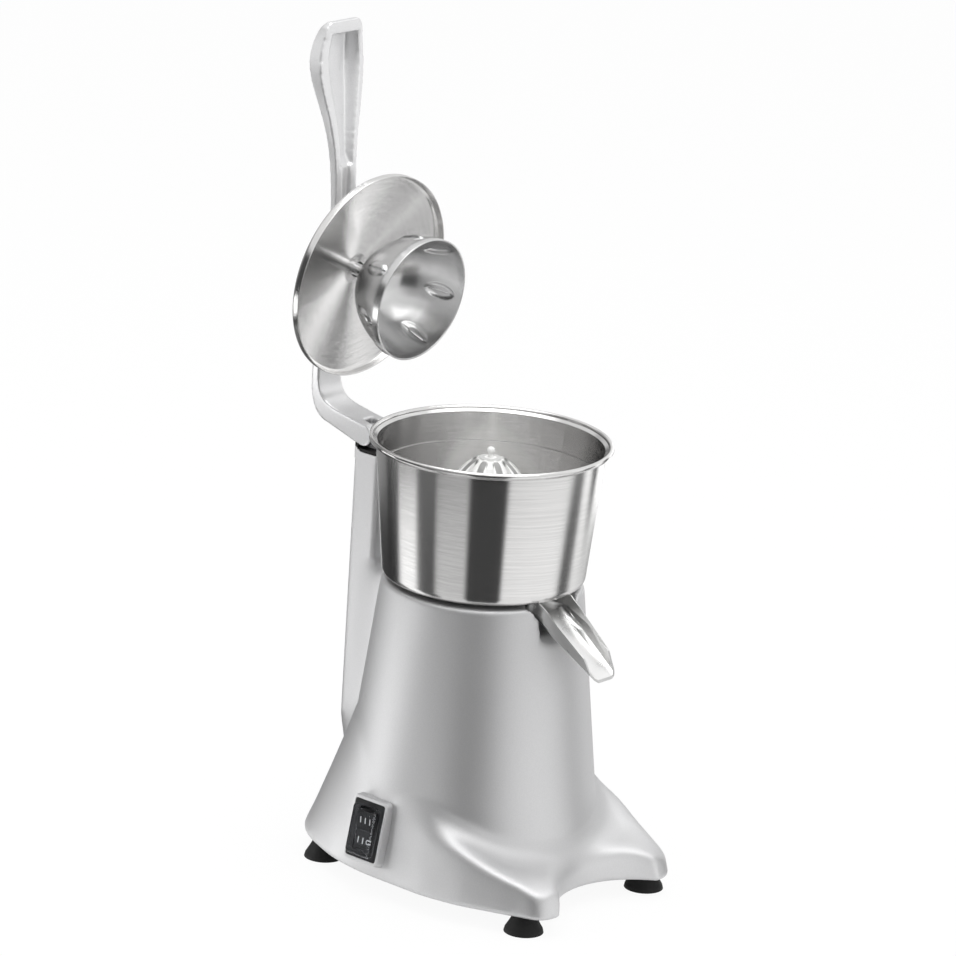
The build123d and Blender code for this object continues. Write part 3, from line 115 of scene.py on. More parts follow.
class Finish:
    """A material, or the world, with its nodes."""

    def __init__(self, name, owner=None):
        self.owner = owner or bpy.data.materials.new(name)
        self.owner.use_nodes = True
        self.tree = self.owner.node_tree
        self.tree.nodes.clear()

    def node(self, kind, settings, sockets, out=0):
        made = self.tree.nodes.new(kind)
        for key, value in settings.items():
            if key == "stops":
                stops = made.color_ramp.elements
                while len(stops) < len(value):
                    stops.new(1.0)
                for stop, (place, level) in zip(stops, value):
                    stop.position = place
                    stop.color = (level, level, level, 1)
            else:
                setattr(made, key, value)
        for key, value in sockets.items():
            if isinstance(value, Value):
                self.tree.links.new(value.socket, made.inputs[key])
            else:
                made.inputs[key].default_value = value
        return Value(self, made.outputs[out]) if len(made.outputs) else made

    def maths(self, operation, *values):
        return self.node("ShaderNodeMath", {"operation": operation}, dict(enumerate(values)))

    def vector(self, operation, *values, out=0):
        return self.node("ShaderNodeVectorMath", {"operation": operation}, dict(enumerate(values)), out)

    def place(self):
        return self.node("ShaderNodeTexCoord", {}, {}, "Object")

    def noise(self, vector, scale, detail=2.0, rough=0.5):
        sockets = {"Vector": vector, "Scale": scale, "Detail": detail, "Roughness": rough}
        return self.node("ShaderNodeTexNoise", {}, sockets)

    def shade(self, low, high, factor):
        """A mix of two colours, each a triple or a colour socket."""
        ends = [end if isinstance(end, Value) else (*end, 1) for end in (low, high)]
        sockets = {"Factor": factor, 6: ends[0], 7: ends[1]}
        return self.node("ShaderNodeMix", {"data_type": "RGBA"}, sockets, 2)

    def bump(self, height, strength, distance=0.0003, before=None):
        sockets = {"Height": height, "Strength": strength, "Distance": distance}
        if before is not None:
            sockets["Normal"] = before
        return self.node("ShaderNodeBump", {}, sockets)

    def surface(self, **sockets):
        named = {key.replace("_", " "): value for key, value in sockets.items()}
        skin = self.node("ShaderNodeBsdfPrincipled", {}, named)
        self.node("ShaderNodeOutputMaterial", {}, {"Surface": skin})
        return self.owner

    def about(self, origin):
        """Radius from an upright axis, height along it, and the direction round it."""
        away = self.vector("SUBTRACT", self.place(), origin)
        along = self.vector("DOT_PRODUCT", away, upright_axis, out="Value")
        out = self.vector("SUBTRACT", away, self.vector("PROJECT", away, upright_axis))
        return self.vector("LENGTH", out, out="Value"), along, self.vector("NORMALIZE", out)

    def grooves(self, across, way, wander):
        """Coordinates of fine lines that run round an axis and wander a little."""
        lines = self.node("ShaderNodeCombineXYZ", {}, {"X": across})
        return self.vector("ADD", lines, self.vector("MULTIPLY", way, (wander, wander, wander)))


def toned(tone, by, lift=0.0):
    return [min(part * by + lift, 1) for part in tone]


def satin_paint(name, tone, rough, metallic):
    """Sprayed silver paint with a fine flake on a cast surface."""
    f = Finish(name)
    here = f.place()
    flake = f.noise(here, scale=1100.0, rough=0.7)
    cloud = f.noise(here, scale=9.0, detail=3.0)
    peel = f.noise(here, scale=420.0)
    grain = f.bump(flake, strength=0.10, distance=0.00012)
    return f.surface(
        Base_Color=f.shade(toned(tone, 0.88), toned(tone, 1.11), flake * 0.85 + cloud * 0.15),
        Roughness=rough - 0.04 + flake * 0.06 + cloud * 0.04,
        Metallic=metallic,
        Coat_Weight=0.06,
        Coat_Roughness=0.4,
        Normal=f.bump(peel, strength=0.10, before=grain),
    )


def brushed_steel(name, tone, rough, turned, marks, streak):
    """Steel brushed round the piece's own upright axis, on its flats too where it is turned."""
    f = Finish(name)
    radius, along, way = f.about((0, 0, 0))
    grid = f.grooves(radius + along * 0.5 if turned else along, way, wander=0.004)
    fine = f.noise(grid, scale=2600.0, detail=3.0, rough=0.7)
    broad = f.noise(grid, scale=700.0, rough=0.6)
    return f.surface(
        Base_Color=f.shade(toned(tone, 1 - streak), toned(tone, 1 + streak), fine * 0.5 + broad * 0.5),
        Metallic=1.0,
        Roughness=rough - 0.03 + fine * 0.06,
        Anisotropic=1.0,
        Anisotropic_Rotation=0.25,
        Normal=f.bump(fine * 0.7 + broad * 0.3, strength=marks),
    )


def polished_steel(name, tone, rough):
    """Polished steel with faint wheel marks round the piece's own axis."""
    f = Finish(name)
    radius, along, way = f.about((0, 0, 0))
    marks = f.noise(f.grooves(radius + along, way, wander=0.01), scale=1500.0, rough=0.6)
    haze = f.noise(f.place(), scale=40.0, detail=3.0)
    return f.surface(
        Base_Color=f.shade(toned(tone, 0.95), tone, marks),
        Metallic=1.0,
        Roughness=rough - 0.02 + haze * 0.04 + marks * 0.02,
        Normal=f.bump(marks, strength=0.02, distance=0.0002),
    )


def moulded_plastic(name, tone, rough, grain=0.15):
    """Moulded plastic or rubber with a fine spark-eroded grain."""
    f = Finish(name)
    here = f.place()
    pits = f.noise(here, scale=1800.0)
    dust = f.noise(here, scale=60.0, detail=3.0)
    return f.surface(
        Base_Color=f.shade(toned(tone, 0.85), toned(tone, 1.15, lift=0.004), dust),
        Roughness=rough - 0.05 + dust * 0.1,
        IOR=1.33,
        Normal=f.bump(pits, strength=grain),
    )


def fluted_plastic(name, tone, flute_shade_tone, rough):
    """Glossy plastic of the cone, with painted shade down in its flutes and round its tip."""
    f = Finish(name)
    flute_count = 8
    radius, along, way = f.about(spindle)
    east = f.node("ShaderNodeSeparateXYZ", {}, {"Vector": way}, "X")
    turn = f.maths("ARCTAN2", east.part("Y"), east) - cone_turn
    swing = f.maths("PINGPONG", turn, math.pi / flute_count)
    # mask of the painted shade: down each flute, and in a ring round the tip
    flute_shade = 1 - (swing * radius).smooth(0.0022, 0.0034)
    flute_shade = flute_shade * radius.smooth(0.010, 0.013)
    collar = radius.window((0.0045, 0.0055), (0.0095, 0.0105))
    flute_shade = f.maths("MAXIMUM", flute_shade, collar * 0.6)
    pits = f.noise(f.place(), scale=1800.0)
    mottle = f.noise(f.place(), scale=90.0, detail=3.0)
    return f.surface(
        # painted shade: the colour darkens towards the second tone in the flutes and round the tip, by a mottled
        # amount
        Base_Color=f.shade(tone, flute_shade_tone, flute_shade * (0.75 + mottle * 0.25)),
        Roughness=rough - 0.04 + mottle * 0.08,
        Normal=f.bump(pits, strength=0.05),
    )


def plain_metal(name, tone, rough):
    """Machined or cast metal of the inner pieces."""
    f = Finish(name)
    here = f.place()
    grain = f.noise(here, scale=700.0, detail=3.0)
    cloud = f.noise(here, scale=30.0)
    return f.surface(
        Base_Color=f.shade(toned(tone, 0.8), toned(tone, 1.15), grain * 0.5 + cloud * 0.5),
        Metallic=1.0,
        Roughness=rough - 0.06 + grain * 0.12,
        Normal=f.bump(grain, strength=0.15),
    )


def stacked_sheet(name, tone, sheet=0.001):
    """Edge of a stack of thin motor sheets."""
    f = Finish(name)
    height = f.node("ShaderNodeSeparateXYZ", {}, {"Vector": f.place()}, "Z")
    line = (f.maths("PINGPONG", height, sheet / 2) * (2 / sheet)).smooth(0.1, 0.6)
    return f.surface(
        Base_Color=f.shade(toned(tone, 0.5), tone, line),
        Metallic=0.9,
        Roughness=0.5 - line * 0.1,
        Normal=f.bump(line, strength=0.3),
    )


def wound_wire(name, tone, wire=0.0012):
    """Varnished wire wound round the motor's axis."""
    f = Finish(name)
    radius, along, way = f.about(spindle)
    rib = (f.maths("PINGPONG", radius + along, wire / 2) * 1600.0).smooth(0.0, 0.9)
    return f.surface(
        Base_Color=f.shade(toned(tone, 0.35), tone, rib),
        Metallic=0.8,
        Roughness=0.45 - rib * 0.12,
        Normal=f.bump(rib, strength=0.6, distance=0.0005),
    )


def clear_cover(name):
    """Clear soft cover over the switch."""
    f = Finish(name)
    haze = f.noise(f.place(), scale=900.0)
    return f.surface(
        Base_Color=f.shade((0.80, 0.81, 0.84), (0.90, 0.91, 0.93), haze),
        Roughness=0.03 + haze * 0.04,
        Transmission_Weight=1.0,
        IOR=1.2,
        Normal=f.bump(haze, strength=0.02),
    )


finishes = {
    "paint": satin_paint("body_paint", (0.62, 0.62, 0.625), rough=0.52, metallic=0.95),
    "lever_paint": satin_paint("lever_paint", (0.74, 0.74, 0.745), rough=0.34, metallic=0.92),
    "rubber": moulded_plastic("black_rubber", (0.006, 0.006, 0.006), rough=0.62, grain=0.3),
    "brushed": brushed_steel(
        "bowl_steel", (0.70, 0.695, 0.69), rough=0.18, turned=False, marks=0.12, streak=0.3
    ),
    "polished": polished_steel("cup_steel", (0.66, 0.66, 0.66), rough=0.22),
    "steel": plain_metal("bolt_steel", (0.5, 0.5, 0.5), rough=0.35),
    "lamination": stacked_sheet("motor_sheet", (0.32, 0.32, 0.34)),
    "copper": wound_wire("motor_wire", (0.55, 0.24, 0.1)),
    "cast": plain_metal("cast_shield", (0.55, 0.55, 0.56), rough=0.5),
    # the cone's second colour is the painted shade in its flutes and round its tip
    "white_plastic": fluted_plastic("cone_plastic", (0.84, 0.84, 0.83), (0.16, 0.16, 0.155), rough=0.2),
    "black_plastic": moulded_plastic("switch_plastic", (0.007, 0.007, 0.0075), rough=0.34, grain=0.1),
    "clear": clear_cover("boot_clear"),
    "capacitor_case": moulded_plastic("capacitor_case", (0.6, 0.6, 0.57), rough=0.4),
}
disc_steel = brushed_steel("disc_steel", (0.71, 0.705, 0.70), rough=0.18, turned=True, marks=0.25, streak=0.2)
spout_steel = polished_steel("spout_steel", (0.84, 0.84, 0.835), rough=0.27)
rod_steel = polished_steel("rod_steel", (0.70, 0.70, 0.70), rough=0.1)
mark_paint = moulded_plastic("mark_paint", (0.7, 0.7, 0.7), rough=0.5, grain=0.05)
slot_of = {part["node"]: part["material_slot"] for part in frame["record"]["subparts"]}
for name, piece in nodes.items():
    piece.data.materials.clear()
    piece.data.materials.append(rod_steel if name == "press_rod" else finishes[slot_of[name]])


def add_piece(name, mesh, body, finish, slot, *instead):
    """A piece of the scene that rides on a body and stands for CAD nodes."""
    piece = bpy.data.objects.new(name, mesh)
    scene.collection.objects.link(piece)
    mesh.materials.clear()
    mesh.materials.append(finish)
    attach(piece, body)
    if instead:
        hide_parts(*instead)
    return piece


def bmesh_to_mesh(made, name, crease=40):
    mesh = bpy.data.meshes.new(name)
    made.to_mesh(mesh)
    made.free()
    mesh.shade_smooth()
    mesh.set_sharp_from_angle(angle=math.radians(crease))
    return mesh


def turns(count):
    """Angles that share out one full turn."""
    return [2 * math.pi * step / count for step in range(count)]


def lathe(profile, steps, closed=True):
    """Turn a list of (radius, height) about the upright axis."""
    made = bmesh.new()
    rings = []
    for turn in turns(steps):
        rings.append([made.verts.new((r * math.cos(turn), r * math.sin(turn), h)) for r, h in profile])
    count = len(profile)
    for one, two in zip(rings, rings[1:] + rings[:1]):
        for k in range(count if closed else count - 1):
            made.faces.new((one[k], two[k], two[(k + 1) % count], one[(k + 1) % count]))
    return made


def rounded(points, radii, steps=6):
    """Round the corners of a closed outline, each by its own radius."""
    result = []
    for k, point in enumerate(points):
        here = Vector(point)
        before = (Vector(points[k - 1]) - here).normalized()
        after = (Vector(points[(k + 1) % len(points)]) - here).normalized()
        if radii[k] == 0:
            result.append(tuple(here))
            continue
        half = before.angle(after) / 2
        cut = radii[k] / math.tan(half)
        middle = here + (before + after).normalized() * radii[k] / math.sin(half)
        first = here + before * cut - middle
        last = here + after * cut - middle
        for step in range(steps + 1):
            spoke = first.lerp(last, step / steps).normalized() * radii[k]
            result.append(tuple(middle + spoke))
    return result


def curve_through(points, steps):
    """Smooth line through points."""
    line = []
    padded = [points[0]] + list(points) + [points[-1]]
    for k in range(len(points) - 1):
        a, b, c, d = (Vector(p) for p in padded[k:k + 4])
        for step in range(steps):
            t = step / steps
            bend = (2 * a - 5 * b + 4 * c - d) * t * t + (3 * b - a - 3 * c + d) * t ** 3
            line.append(0.5 * (2 * b + (c - a) * t + bend))
    return line + [Vector(points[-1])]


def links_of(mesh):
    """The two ends of every edge."""
    ends = np.empty(len(mesh.edges) * 2, dtype=np.int64)
    mesh.edges.foreach_get("vertices", ends)
    return ends[0::2], ends[1::2]


def spots_of(mesh):
    flat = np.empty(len(mesh.vertices) * 3)
    mesh.vertices.foreach_get("co", flat)
    return flat.reshape(-1, 3)


def normals_of(mesh):
    flat = np.empty(len(mesh.vertices) * 3)
    mesh.vertex_normals.foreach_get("vector", flat)
    return flat.reshape(-1, 3)


def set_spots(mesh, spots):
    mesh.vertices.foreach_set("co", spots.ravel())
    mesh.update()


def ramp(values, low, high):
    share = np.clip((values - low) / (high - low), 0, 1)
    return share * share * (3 - 2 * share)


def relaxed(spots, links, amount, rounds):
    """Move each spot toward its neighbours' middle, by its own amount."""
    one, two = links
    total = len(spots)
    count = np.maximum(np.bincount(one, minlength=total) + np.bincount(two, minlength=total), 1)[:, None]
    amount = np.broadcast_to(amount, total)[:, None]
    for _ in range(rounds):
        sums = [np.bincount(one, row[two], total) + np.bincount(two, row[one], total) for row in spots.T]
        spots = spots + amount * (np.stack(sums, 1) / count - spots)
    return spots


def blurred(mask, links, rounds):
    return relaxed(mask[:, None], links, 1.0, rounds)[:, 0]


def widened(mask, links, rings, rounds):
    """A mask grown by rings of neighbours and given a soft edge."""
    one, two = links
    amount = mask.astype(float)
    for _ in range(rings):
        spread = amount.copy()
        np.maximum.at(spread, one, amount[two])
        np.maximum.at(spread, two, amount[one])
        amount = spread
    return blurred(amount, links, rounds)


def dips(spots, links, facing):
    """How far each spot lies under its neighbours, along its normal."""
    return np.einsum("ij,ij->i", relaxed(spots, links, 1.0, 1) - spots, facing)


def scaled_round_spindle(spots, by):
    """Spots moved straight out from the spindle, each by its own factor."""
    moved = spots.copy()
    moved[:, 0] *= by
    moved[:, 1] = spindle.y + (spots[:, 1] - spindle.y) * by
    return moved


def cast_mesh(node, voxel):
    """Even mesh over a CAD node, as a start for a soft casting."""
    made = bmesh.new()
    made.from_mesh(nodes[node].data)
    bmesh.ops.remove_doubles(made, verts=made.verts, dist=1e-6)
    whole = bmesh_to_mesh(made, node + "_whole")
    helper = bpy.data.objects.new(node + "_helper", whole)
    scene.collection.objects.link(helper)
    modifier = helper.modifiers.new("even", "REMESH")
    modifier.mode = "VOXEL"
    modifier.voxel_size = voxel
    graph = bpy.context.evaluated_depsgraph_get()
    mesh = bpy.data.meshes.new_from_object(helper.evaluated_get(graph))
    bpy.data.objects.remove(helper)
    return mesh


# Housing: one soft casting, with rounded roots where the skirt, toes and switch boss meet the body
housing_voxel = 0.0017
body_top = 0.25
body_top_radius = 0.0833
body_taper = 0.117
seam_depth = 2.5e-5
seam_low = 0.018
seam_high = 0.236
seam_fade_in = (0.017, 0.022)
seam_fade_out = (seam_high, 0.242)
seam_rounds = 240
notch_ahead = 0.05
notch_half_width = 0.036
notch_low = 0.19
ridge_height = 1.2e-5
ridge_ahead = 0.012
ridge_low = 0.03
ridge_high = 0.125
ridge_fade_in = (0.026, 0.04)
ridge_rounds = 90
toe_fade = (0.115, 0.165)
toe_share = 0.8
rear_start = (spindle.y - 0.005, spindle.y + 0.025)
rear_fade_in = (0.024, 0.04)
rear_fade_out = (0.2, 0.225)
rear_rounds = 220
column_fade = (0.019, 0.026)
port_fade = (0.034, 0.046)
wall_facing = (0.88, 0.95)
wall_fade_in = (0.018, 0.024)
wall_fade_out = (0.2425, 0.2455)


def round_spindle(spots):
    """Distance of each spot from the spindle, and of the body's true wall at its height."""
    away = np.hypot(spots[:, 0], spots[:, 1] - spindle.y)
    return away, body_top_radius + body_taper * (body_top - spots[:, 2])


def fill_seams(spots, links, facing):
    """Broad hollow roots outside the body's wall, but not in the spout's notch."""
    away, wall = round_spindle(spots)
    height = spots[:, 2]
    seam = (dips(spots, links, facing) > seam_depth) & (away > wall - 0.0015)
    seam &= (height > seam_low) & (height < seam_high)
    notch = (spots[:, 1] < spindle.y - notch_ahead) & (np.abs(spots[:, 0]) < notch_half_width)
    seam &= ~(notch & (height > notch_low))
    amount = widened(seam, links, rings=11, rounds=4)
    amount *= ramp(height, *seam_fade_in) * (1 - ramp(height, *seam_fade_out))
    amount *= ramp(away, wall - 0.002, wall - 0.001)
    return relaxed(spots, links, amount * 0.7, seam_rounds)


def soften_ridges(spots, links, facing, away, wall):
    """Rounded crests of the skirt and toes, less so towards the tips of the toes."""
    height = spots[:, 2]
    ridge = (-dips(spots, links, facing) > ridge_height) & (spots[:, 1] < spindle.y - ridge_ahead)
    ridge &= (away > wall + 0.003) & (height > ridge_low) & (height < ridge_high)
    amount = widened(ridge, links, rings=6, rounds=5)
    amount *= ramp(height, *ridge_fade_in) * (1 - toe_share * ramp(away, *toe_fade))
    amount *= ramp(away, wall - 0.002, wall)
    return relaxed(spots, links, amount * 0.6, ridge_rounds)


def smooth_rear(spots, links, away, wall):
    """Even flare behind the spindle, away from the column, the switch and the gland."""
    height = spots[:, 2]
    rear = ramp(spots[:, 1], *rear_start) * ramp(height, *rear_fade_in)
    rear *= (1 - ramp(height, *rear_fade_out)) * ramp(np.abs(spots[:, 0]), *column_fade)
    rear *= ramp(away, wall - 0.001, wall)
    for name in ("switch_frame", "cable_gland"):
        port = spots_of(nodes[name].data).mean(axis=0)
        rear *= ramp(np.linalg.norm(spots - port, axis=1), *port_fade)
    return relaxed(spots, links, rear * 0.6, rear_rounds)


def true_wall(spots, links, facing):
    """The body's wall brought onto its true cone."""
    away, wall = round_spindle(spots)
    height = spots[:, 2]
    outward = (facing[:, 0] * spots[:, 0] + facing[:, 1] * (spots[:, 1] - spindle.y)) / away
    near = (away > wall - 0.0017) * (1 - ramp(away, wall + 0.0002, wall + 0.0012))
    near = blurred(near * ramp(outward, *wall_facing), links, 2)
    near *= ramp(height, *wall_fade_in) * (1 - ramp(height, *wall_fade_out))
    moved = scaled_round_spindle(spots, 1 + near * (wall / away - 1))
    return relaxed(moved, links, near * 0.5, 6)


def soft_housing():
    mesh = cast_mesh("housing", housing_voxel)
    links = links_of(mesh)
    spots = relaxed(spots_of(mesh), links, 0.5, 5)
    set_spots(mesh, spots)
    spots = fill_seams(spots, links, normals_of(mesh))
    set_spots(mesh, spots)
    away, wall = round_spindle(spots)
    spots = soften_ridges(spots, links, normals_of(mesh), away, wall)
    spots = smooth_rear(spots, links, away, wall)
    set_spots(mesh, spots)
    set_spots(mesh, true_wall(spots, links, normals_of(mesh)))
    mesh.shade_smooth()
    return mesh


add_piece("housing_shell", soft_housing(), "machine", finishes["paint"], "paint", "housing")

# Lever arm: a soft casting too, with a wide near rim on the grip and a hollow with a leaning far wall
lever_voxel = 0.0010
near_lean_share = 0.3
far_lean_share = 0.26
hollow_deepening = 0.0028
hollow_low = 0.2171
hollow_fade_in = (hollow_low, 0.226)
hollow_fade_out = (0.3262, 0.3268)
floor_margin = 0.0006
side_margin = 0.0008
lever_rounds = 7
hollow_rises = [hollow_low, 0.2408, 0.2615, 0.2803, 0.2961, 0.3059, 0.3178, 0.3266]
hollow_halves = [0.0075, 0.0095, 0.0135, 0.0175, 0.0200, 0.0203, 0.0188, 0.0170]
hollow_floors = [0.0501, 0.0533, 0.0577, 0.0620, 0.0655, 0.0661, 0.0655, 0.0640]
grip_rises = [0.1865, 0.2161, 0.2447, 0.2615, 0.2783, 0.2961, 0.3079, 0.3217, 0.3326]
grip_halves = [0.0126, 0.0126, 0.0158, 0.0194, 0.0234, 0.0260, 0.0258, 0.0240, 0.0215]
front_rises = [0.1914, 0.2161, 0.2457, 0.2625, 0.2832, 0.3030, 0.3217]
front_setbacks = [0.0445, 0.0460, 0.0490, 0.0511, 0.0545, 0.0567, 0.0571]


def soft_lever():
    mesh = cast_mesh("lever_arm", lever_voxel)
    spots = spots_of(mesh)
    across = spots[:, 0]
    setback = spots[:, 1] - lever_pivot.y
    rise = spots[:, 2] - lever_pivot.z
    half = np.interp(rise, hollow_rises, hollow_halves)
    floor = np.interp(rise, hollow_rises, hollow_floors)
    outer = np.interp(rise, grip_rises, grip_halves)
    front = np.interp(rise, front_rises, front_setbacks)
    depth = np.clip((setback - front) / np.maximum(floor - front, 0.001), 0, 1)
    near_shift = near_lean_share * half
    far_shift = far_lean_share * half * depth
    near_rim = -outer + (across + outer) * (outer - half + near_shift) / (outer - half)
    far_rim = outer - (outer - across) * (outer - half + far_shift) / (outer - half)
    share = (across + half) / (2 * half)
    between = (-half + near_shift) * (1 - share) + (half - far_shift) * share
    moved = np.where(across < -half, near_rim, np.where(across > half, far_rim, between))
    held = ramp(rise, *hollow_fade_in) * (1 - ramp(rise, *hollow_fade_out)) * (setback < floor + floor_margin)
    inner = held * (np.abs(across) < half + side_margin)
    spots[:, 0] += held * (np.abs(across) < outer) * (moved - across)
    spots[:, 1] += inner * depth * hollow_deepening
    set_spots(mesh, relaxed(spots, links_of(mesh), 0.5, lever_rounds))
    mesh.shade_smooth()
    return mesh


add_piece("lever_shell", soft_lever(), "lever", finishes["lever_paint"], "lever_paint", "lever_arm")

# Cone, turned so that one of its lands looks to the front left
reamer = nodes["cone"].data.copy()
to_spindle = Matrix.Translation(spindle)
reamer.transform(to_spindle @ Matrix.Rotation(cone_turn, 4, "Z") @ to_spindle.inverted())
cone_body = joints["cone_spin"]["child"]
add_piece("cone_fluted", reamer, cone_body, finishes["white_plastic"], "white_plastic", "cone")

# Strainer: a basket whose wall stands close along the bowl's wall
basket_floor = 0.2981
basket_wall_radius = 0.0725
basket_widening = 0.0092


def wide_basket():
    mesh = nodes["strainer"].data.copy()
    spots = spots_of(mesh)
    away = np.hypot(spots[:, 0], spots[:, 1] - spindle.y)
    climb = np.clip((spots[:, 2] - basket_floor) / (spots[:, 2].max() - basket_floor), 0, 1)
    out = 1 + (away > basket_wall_radius) * basket_widening * (1 - climb) / np.maximum(away, 0.01)
    set_spots(mesh, scaled_round_spindle(spots, out))
    return mesh


add_piece("strainer_basket", wide_basket(), "machine", finishes["brushed"], "brushed", "strainer")

# Column collar: the casting's thin rim round the stop pad, rising towards the back
collar_steps = 160
collar_inset = 0.003
corner_sharpness = 8
collar_line = 0.004
collar_outer = 0.0042
collar_inner = 0.0032
collar_edge = 0.0003
collar_root = 0.004
front_rise = 0.0025
front_rise_limit = 0.0044
pad_reveal = 0.003
pad_step = lever_pivot.y + 0.0055
climb_start = pad_step - 0.005


def collar():
    pad = spots_of(nodes["stop_pad"].data)
    low = pad.min(axis=0)
    high = pad.max(axis=0)
    full_climb = high[2] - low[2] - pad_reveal - front_rise
    half_width = high[0] - collar_inset
    half_length = (high[1] - low[1]) / 2 - collar_inset
    made = bmesh.new()
    rings = []
    for turn in turns(collar_steps):
        way = Vector((math.cos(turn), math.sin(turn), 0))
        hub = Vector((math.tanh(corner_sharpness * way.x) * half_width,
                      (low[1] + high[1]) / 2 + math.tanh(corner_sharpness * way.y) * half_length, 0))
        back = hub.y + collar_line * way.y
        rise = front_rise + full_climb * ramp(back, climb_start, high[1])
        crest = low[2] + (min(rise, front_rise_limit) if back < pad_step else rise)
        section = ((collar_outer, low[2] - collar_root), (collar_outer, crest - collar_edge),
                   (collar_outer - collar_edge, crest), (collar_inner + collar_edge, crest),
                   (collar_inner, crest - collar_edge), (collar_inner, low[2]))
        rings.append([made.verts.new((*(hub + way * out).xy, level)) for out, level in section])
    for here, there in zip(rings, rings[1:] + rings[:1]):
        for k in range(len(here) - 1):
            made.faces.new((here[k], there[k], there[k + 1], here[k + 1]))
    return bmesh_to_mesh(made, "column_collar", 35)


add_piece("column_collar", collar(), "machine", finishes["paint"], "paint")

# Feet: rubber cones that narrow towards the casting
foot_core = 0.0085
foot_narrowing = 15
foot_height = 0.015


def flared_foot(node):
    mesh = nodes[node].data.copy()
    spots = spots_of(mesh)
    hub = (spots.min(axis=0) + spots.max(axis=0)) / 2
    reach = np.hypot(spots[:, 0] - hub[0], spots[:, 1] - hub[1])
    waist = np.where(reach > foot_core, 1 - foot_narrowing * np.clip(spots[:, 2], 0, foot_height), 1.0)
    spots[:, :2] = hub[:2] + (spots[:, :2] - hub[:2]) * waist[:, None]
    set_spots(mesh, spots)
    return mesh


for number in range(1, 5):
    foot = "foot_%d" % number
    add_piece("foot_flared_%d" % number, flared_foot(foot), "machine", finishes["rubber"], "rubber", foot)

# Spout: folded with low side walls where it slopes down to its lip
chute_slope = math.radians(32.4)
chute_bend = 0.078
chute_top = 0.252
chute_length = 0.09
chute_half_width = 0.020
chute_taper = 0.0094
chute_depth = 0.0145
wall_lowering = 0.0056
chute_shift = 0.0014
chute_widening = 0.0024
chute_fade_in = (0.010, 0.028)


def folded_spout():
    mesh = nodes["spout"].data.copy()
    spots = spots_of(mesh)
    run = spindle.y - chute_bend - spots[:, 1]
    drop = chute_top - spots[:, 2]
    down = math.sin(chute_slope)
    level = math.cos(chute_slope)
    along = run * level + drop * down
    below = drop * level - run * down
    held = ramp(along, *chute_fade_in)
    half = chute_half_width - chute_taper * np.clip(along, 0, chute_length) / chute_length
    spots[:, 0] += held * (chute_shift + chute_widening * spots[:, 0] / half)
    below = below + held * wall_lowering * np.clip(1 - below / chute_depth, 0, 1)
    sloping = held > 0
    spots[:, 1] = np.where(sloping, spindle.y - chute_bend - along * level + below * down, spots[:, 1])
    spots[:, 2] = np.where(sloping, chute_top - along * down - below * level, spots[:, 2])
    set_spots(mesh, spots)
    return mesh


add_piece("spout_folded", folded_spout(), "machine", spout_steel, "polished", "spout")

# Splash disc: a turned shallow cone with a rolled edge
disc_steps = 256
disc_sheet = 0.0012
disc_hole = 0.00505
disc_hub_radius = 0.013
disc_radius = 0.0876
disc_inner_radius = disc_radius - disc_sheet
disc_hub_level = 0.0485
disc_rim_level = 0.0368
disc_edge_level = 0.030
sideways = Vector((1, 0, 0))
press_turn = Matrix((sideways, press_axis.cross(sideways), press_axis)).transposed().to_4x4()
press_place = Matrix.Translation(press_foot) @ press_turn
disc_outline = rounded(
    [(disc_hole, disc_hub_level), (disc_hub_radius, disc_hub_level),
     (disc_inner_radius, disc_rim_level), (disc_inner_radius, disc_edge_level),
     (disc_radius, disc_edge_level), (disc_radius, disc_rim_level + disc_sheet),
     (disc_hub_radius, disc_hub_level + disc_sheet), (disc_hole, disc_hub_level + disc_sheet)],
    [0, 0.004, 0.0036, 0.0005, 0.0005, 0.0046, 0.004, 0],
)
disc_mesh = bmesh_to_mesh(lathe(disc_outline, disc_steps), "splash_disc_turned")
disc = add_piece("splash_disc_turned", disc_mesh, "lever", disc_steel, "brushed", "splash_disc")
disc.matrix_world = press_place

# Press cup: a spun bowl with pressed and slit ovals round its side
cup_steps = 504
cup_sheet = 0.0012
cup_span_steps = 11
cup_points = [(0.0526, -0.026), (0.0516, -0.018), (0.0488, -0.008), (0.0444, 0.002), (0.038, 0.0125),
              (0.029, 0.022), (0.0205, 0.027), (0.014, 0.030), (0.00305, 0.030)]
oval_count = 7
oval_pitch = 2 * math.pi / oval_count
oval_turn = math.radians(47.5)
oval_middle = 0.0208
oval_half_length = 0.0135
oval_half_width = 0.0068
deep_side = 0.0022
shallow_side = 0.0009
oval_steepness = 1.6
oval_roundness = 0.7
slit_half_length = 0.0098
slit_half_width = 0.0008


def spun_cup():
    line = curve_through(cup_points, cup_span_steps)
    lengths = np.cumsum([0] + [(b - a).length for a, b in zip(line, line[1:])])
    made = lathe([tuple(point) for point in line], cup_steps, closed=False)
    slit_verts = set()
    for index, vert in enumerate(made.verts):
        place = index % len(line)
        radius = line[place].x
        turn = math.atan2(vert.co.x, -vert.co.y) - oval_turn
        across = radius * (turn - oval_pitch * round(turn / oval_pitch))
        along = lengths[place] - oval_middle
        inside = 1 - (along / oval_half_length) ** 2 - (across / oval_half_width) ** 2
        if inside > 0:
            share = min(1, inside * oval_steepness) ** oval_roundness
            depth = (deep_side if across > 0 else shallow_side) * share
            vert.co.xy *= 1 + depth / radius
        if abs(across) < slit_half_width and abs(along) < slit_half_length:
            slit_verts.add(vert)
    slits = [face for face in made.faces if sum(vert in slit_verts for vert in face.verts) >= 3]
    bmesh.ops.delete(made, geom=slits, context="FACES_ONLY")
    bmesh.ops.recalc_face_normals(made, faces=made.faces)
    return bmesh_to_mesh(made, "press_cup_spun", 60)


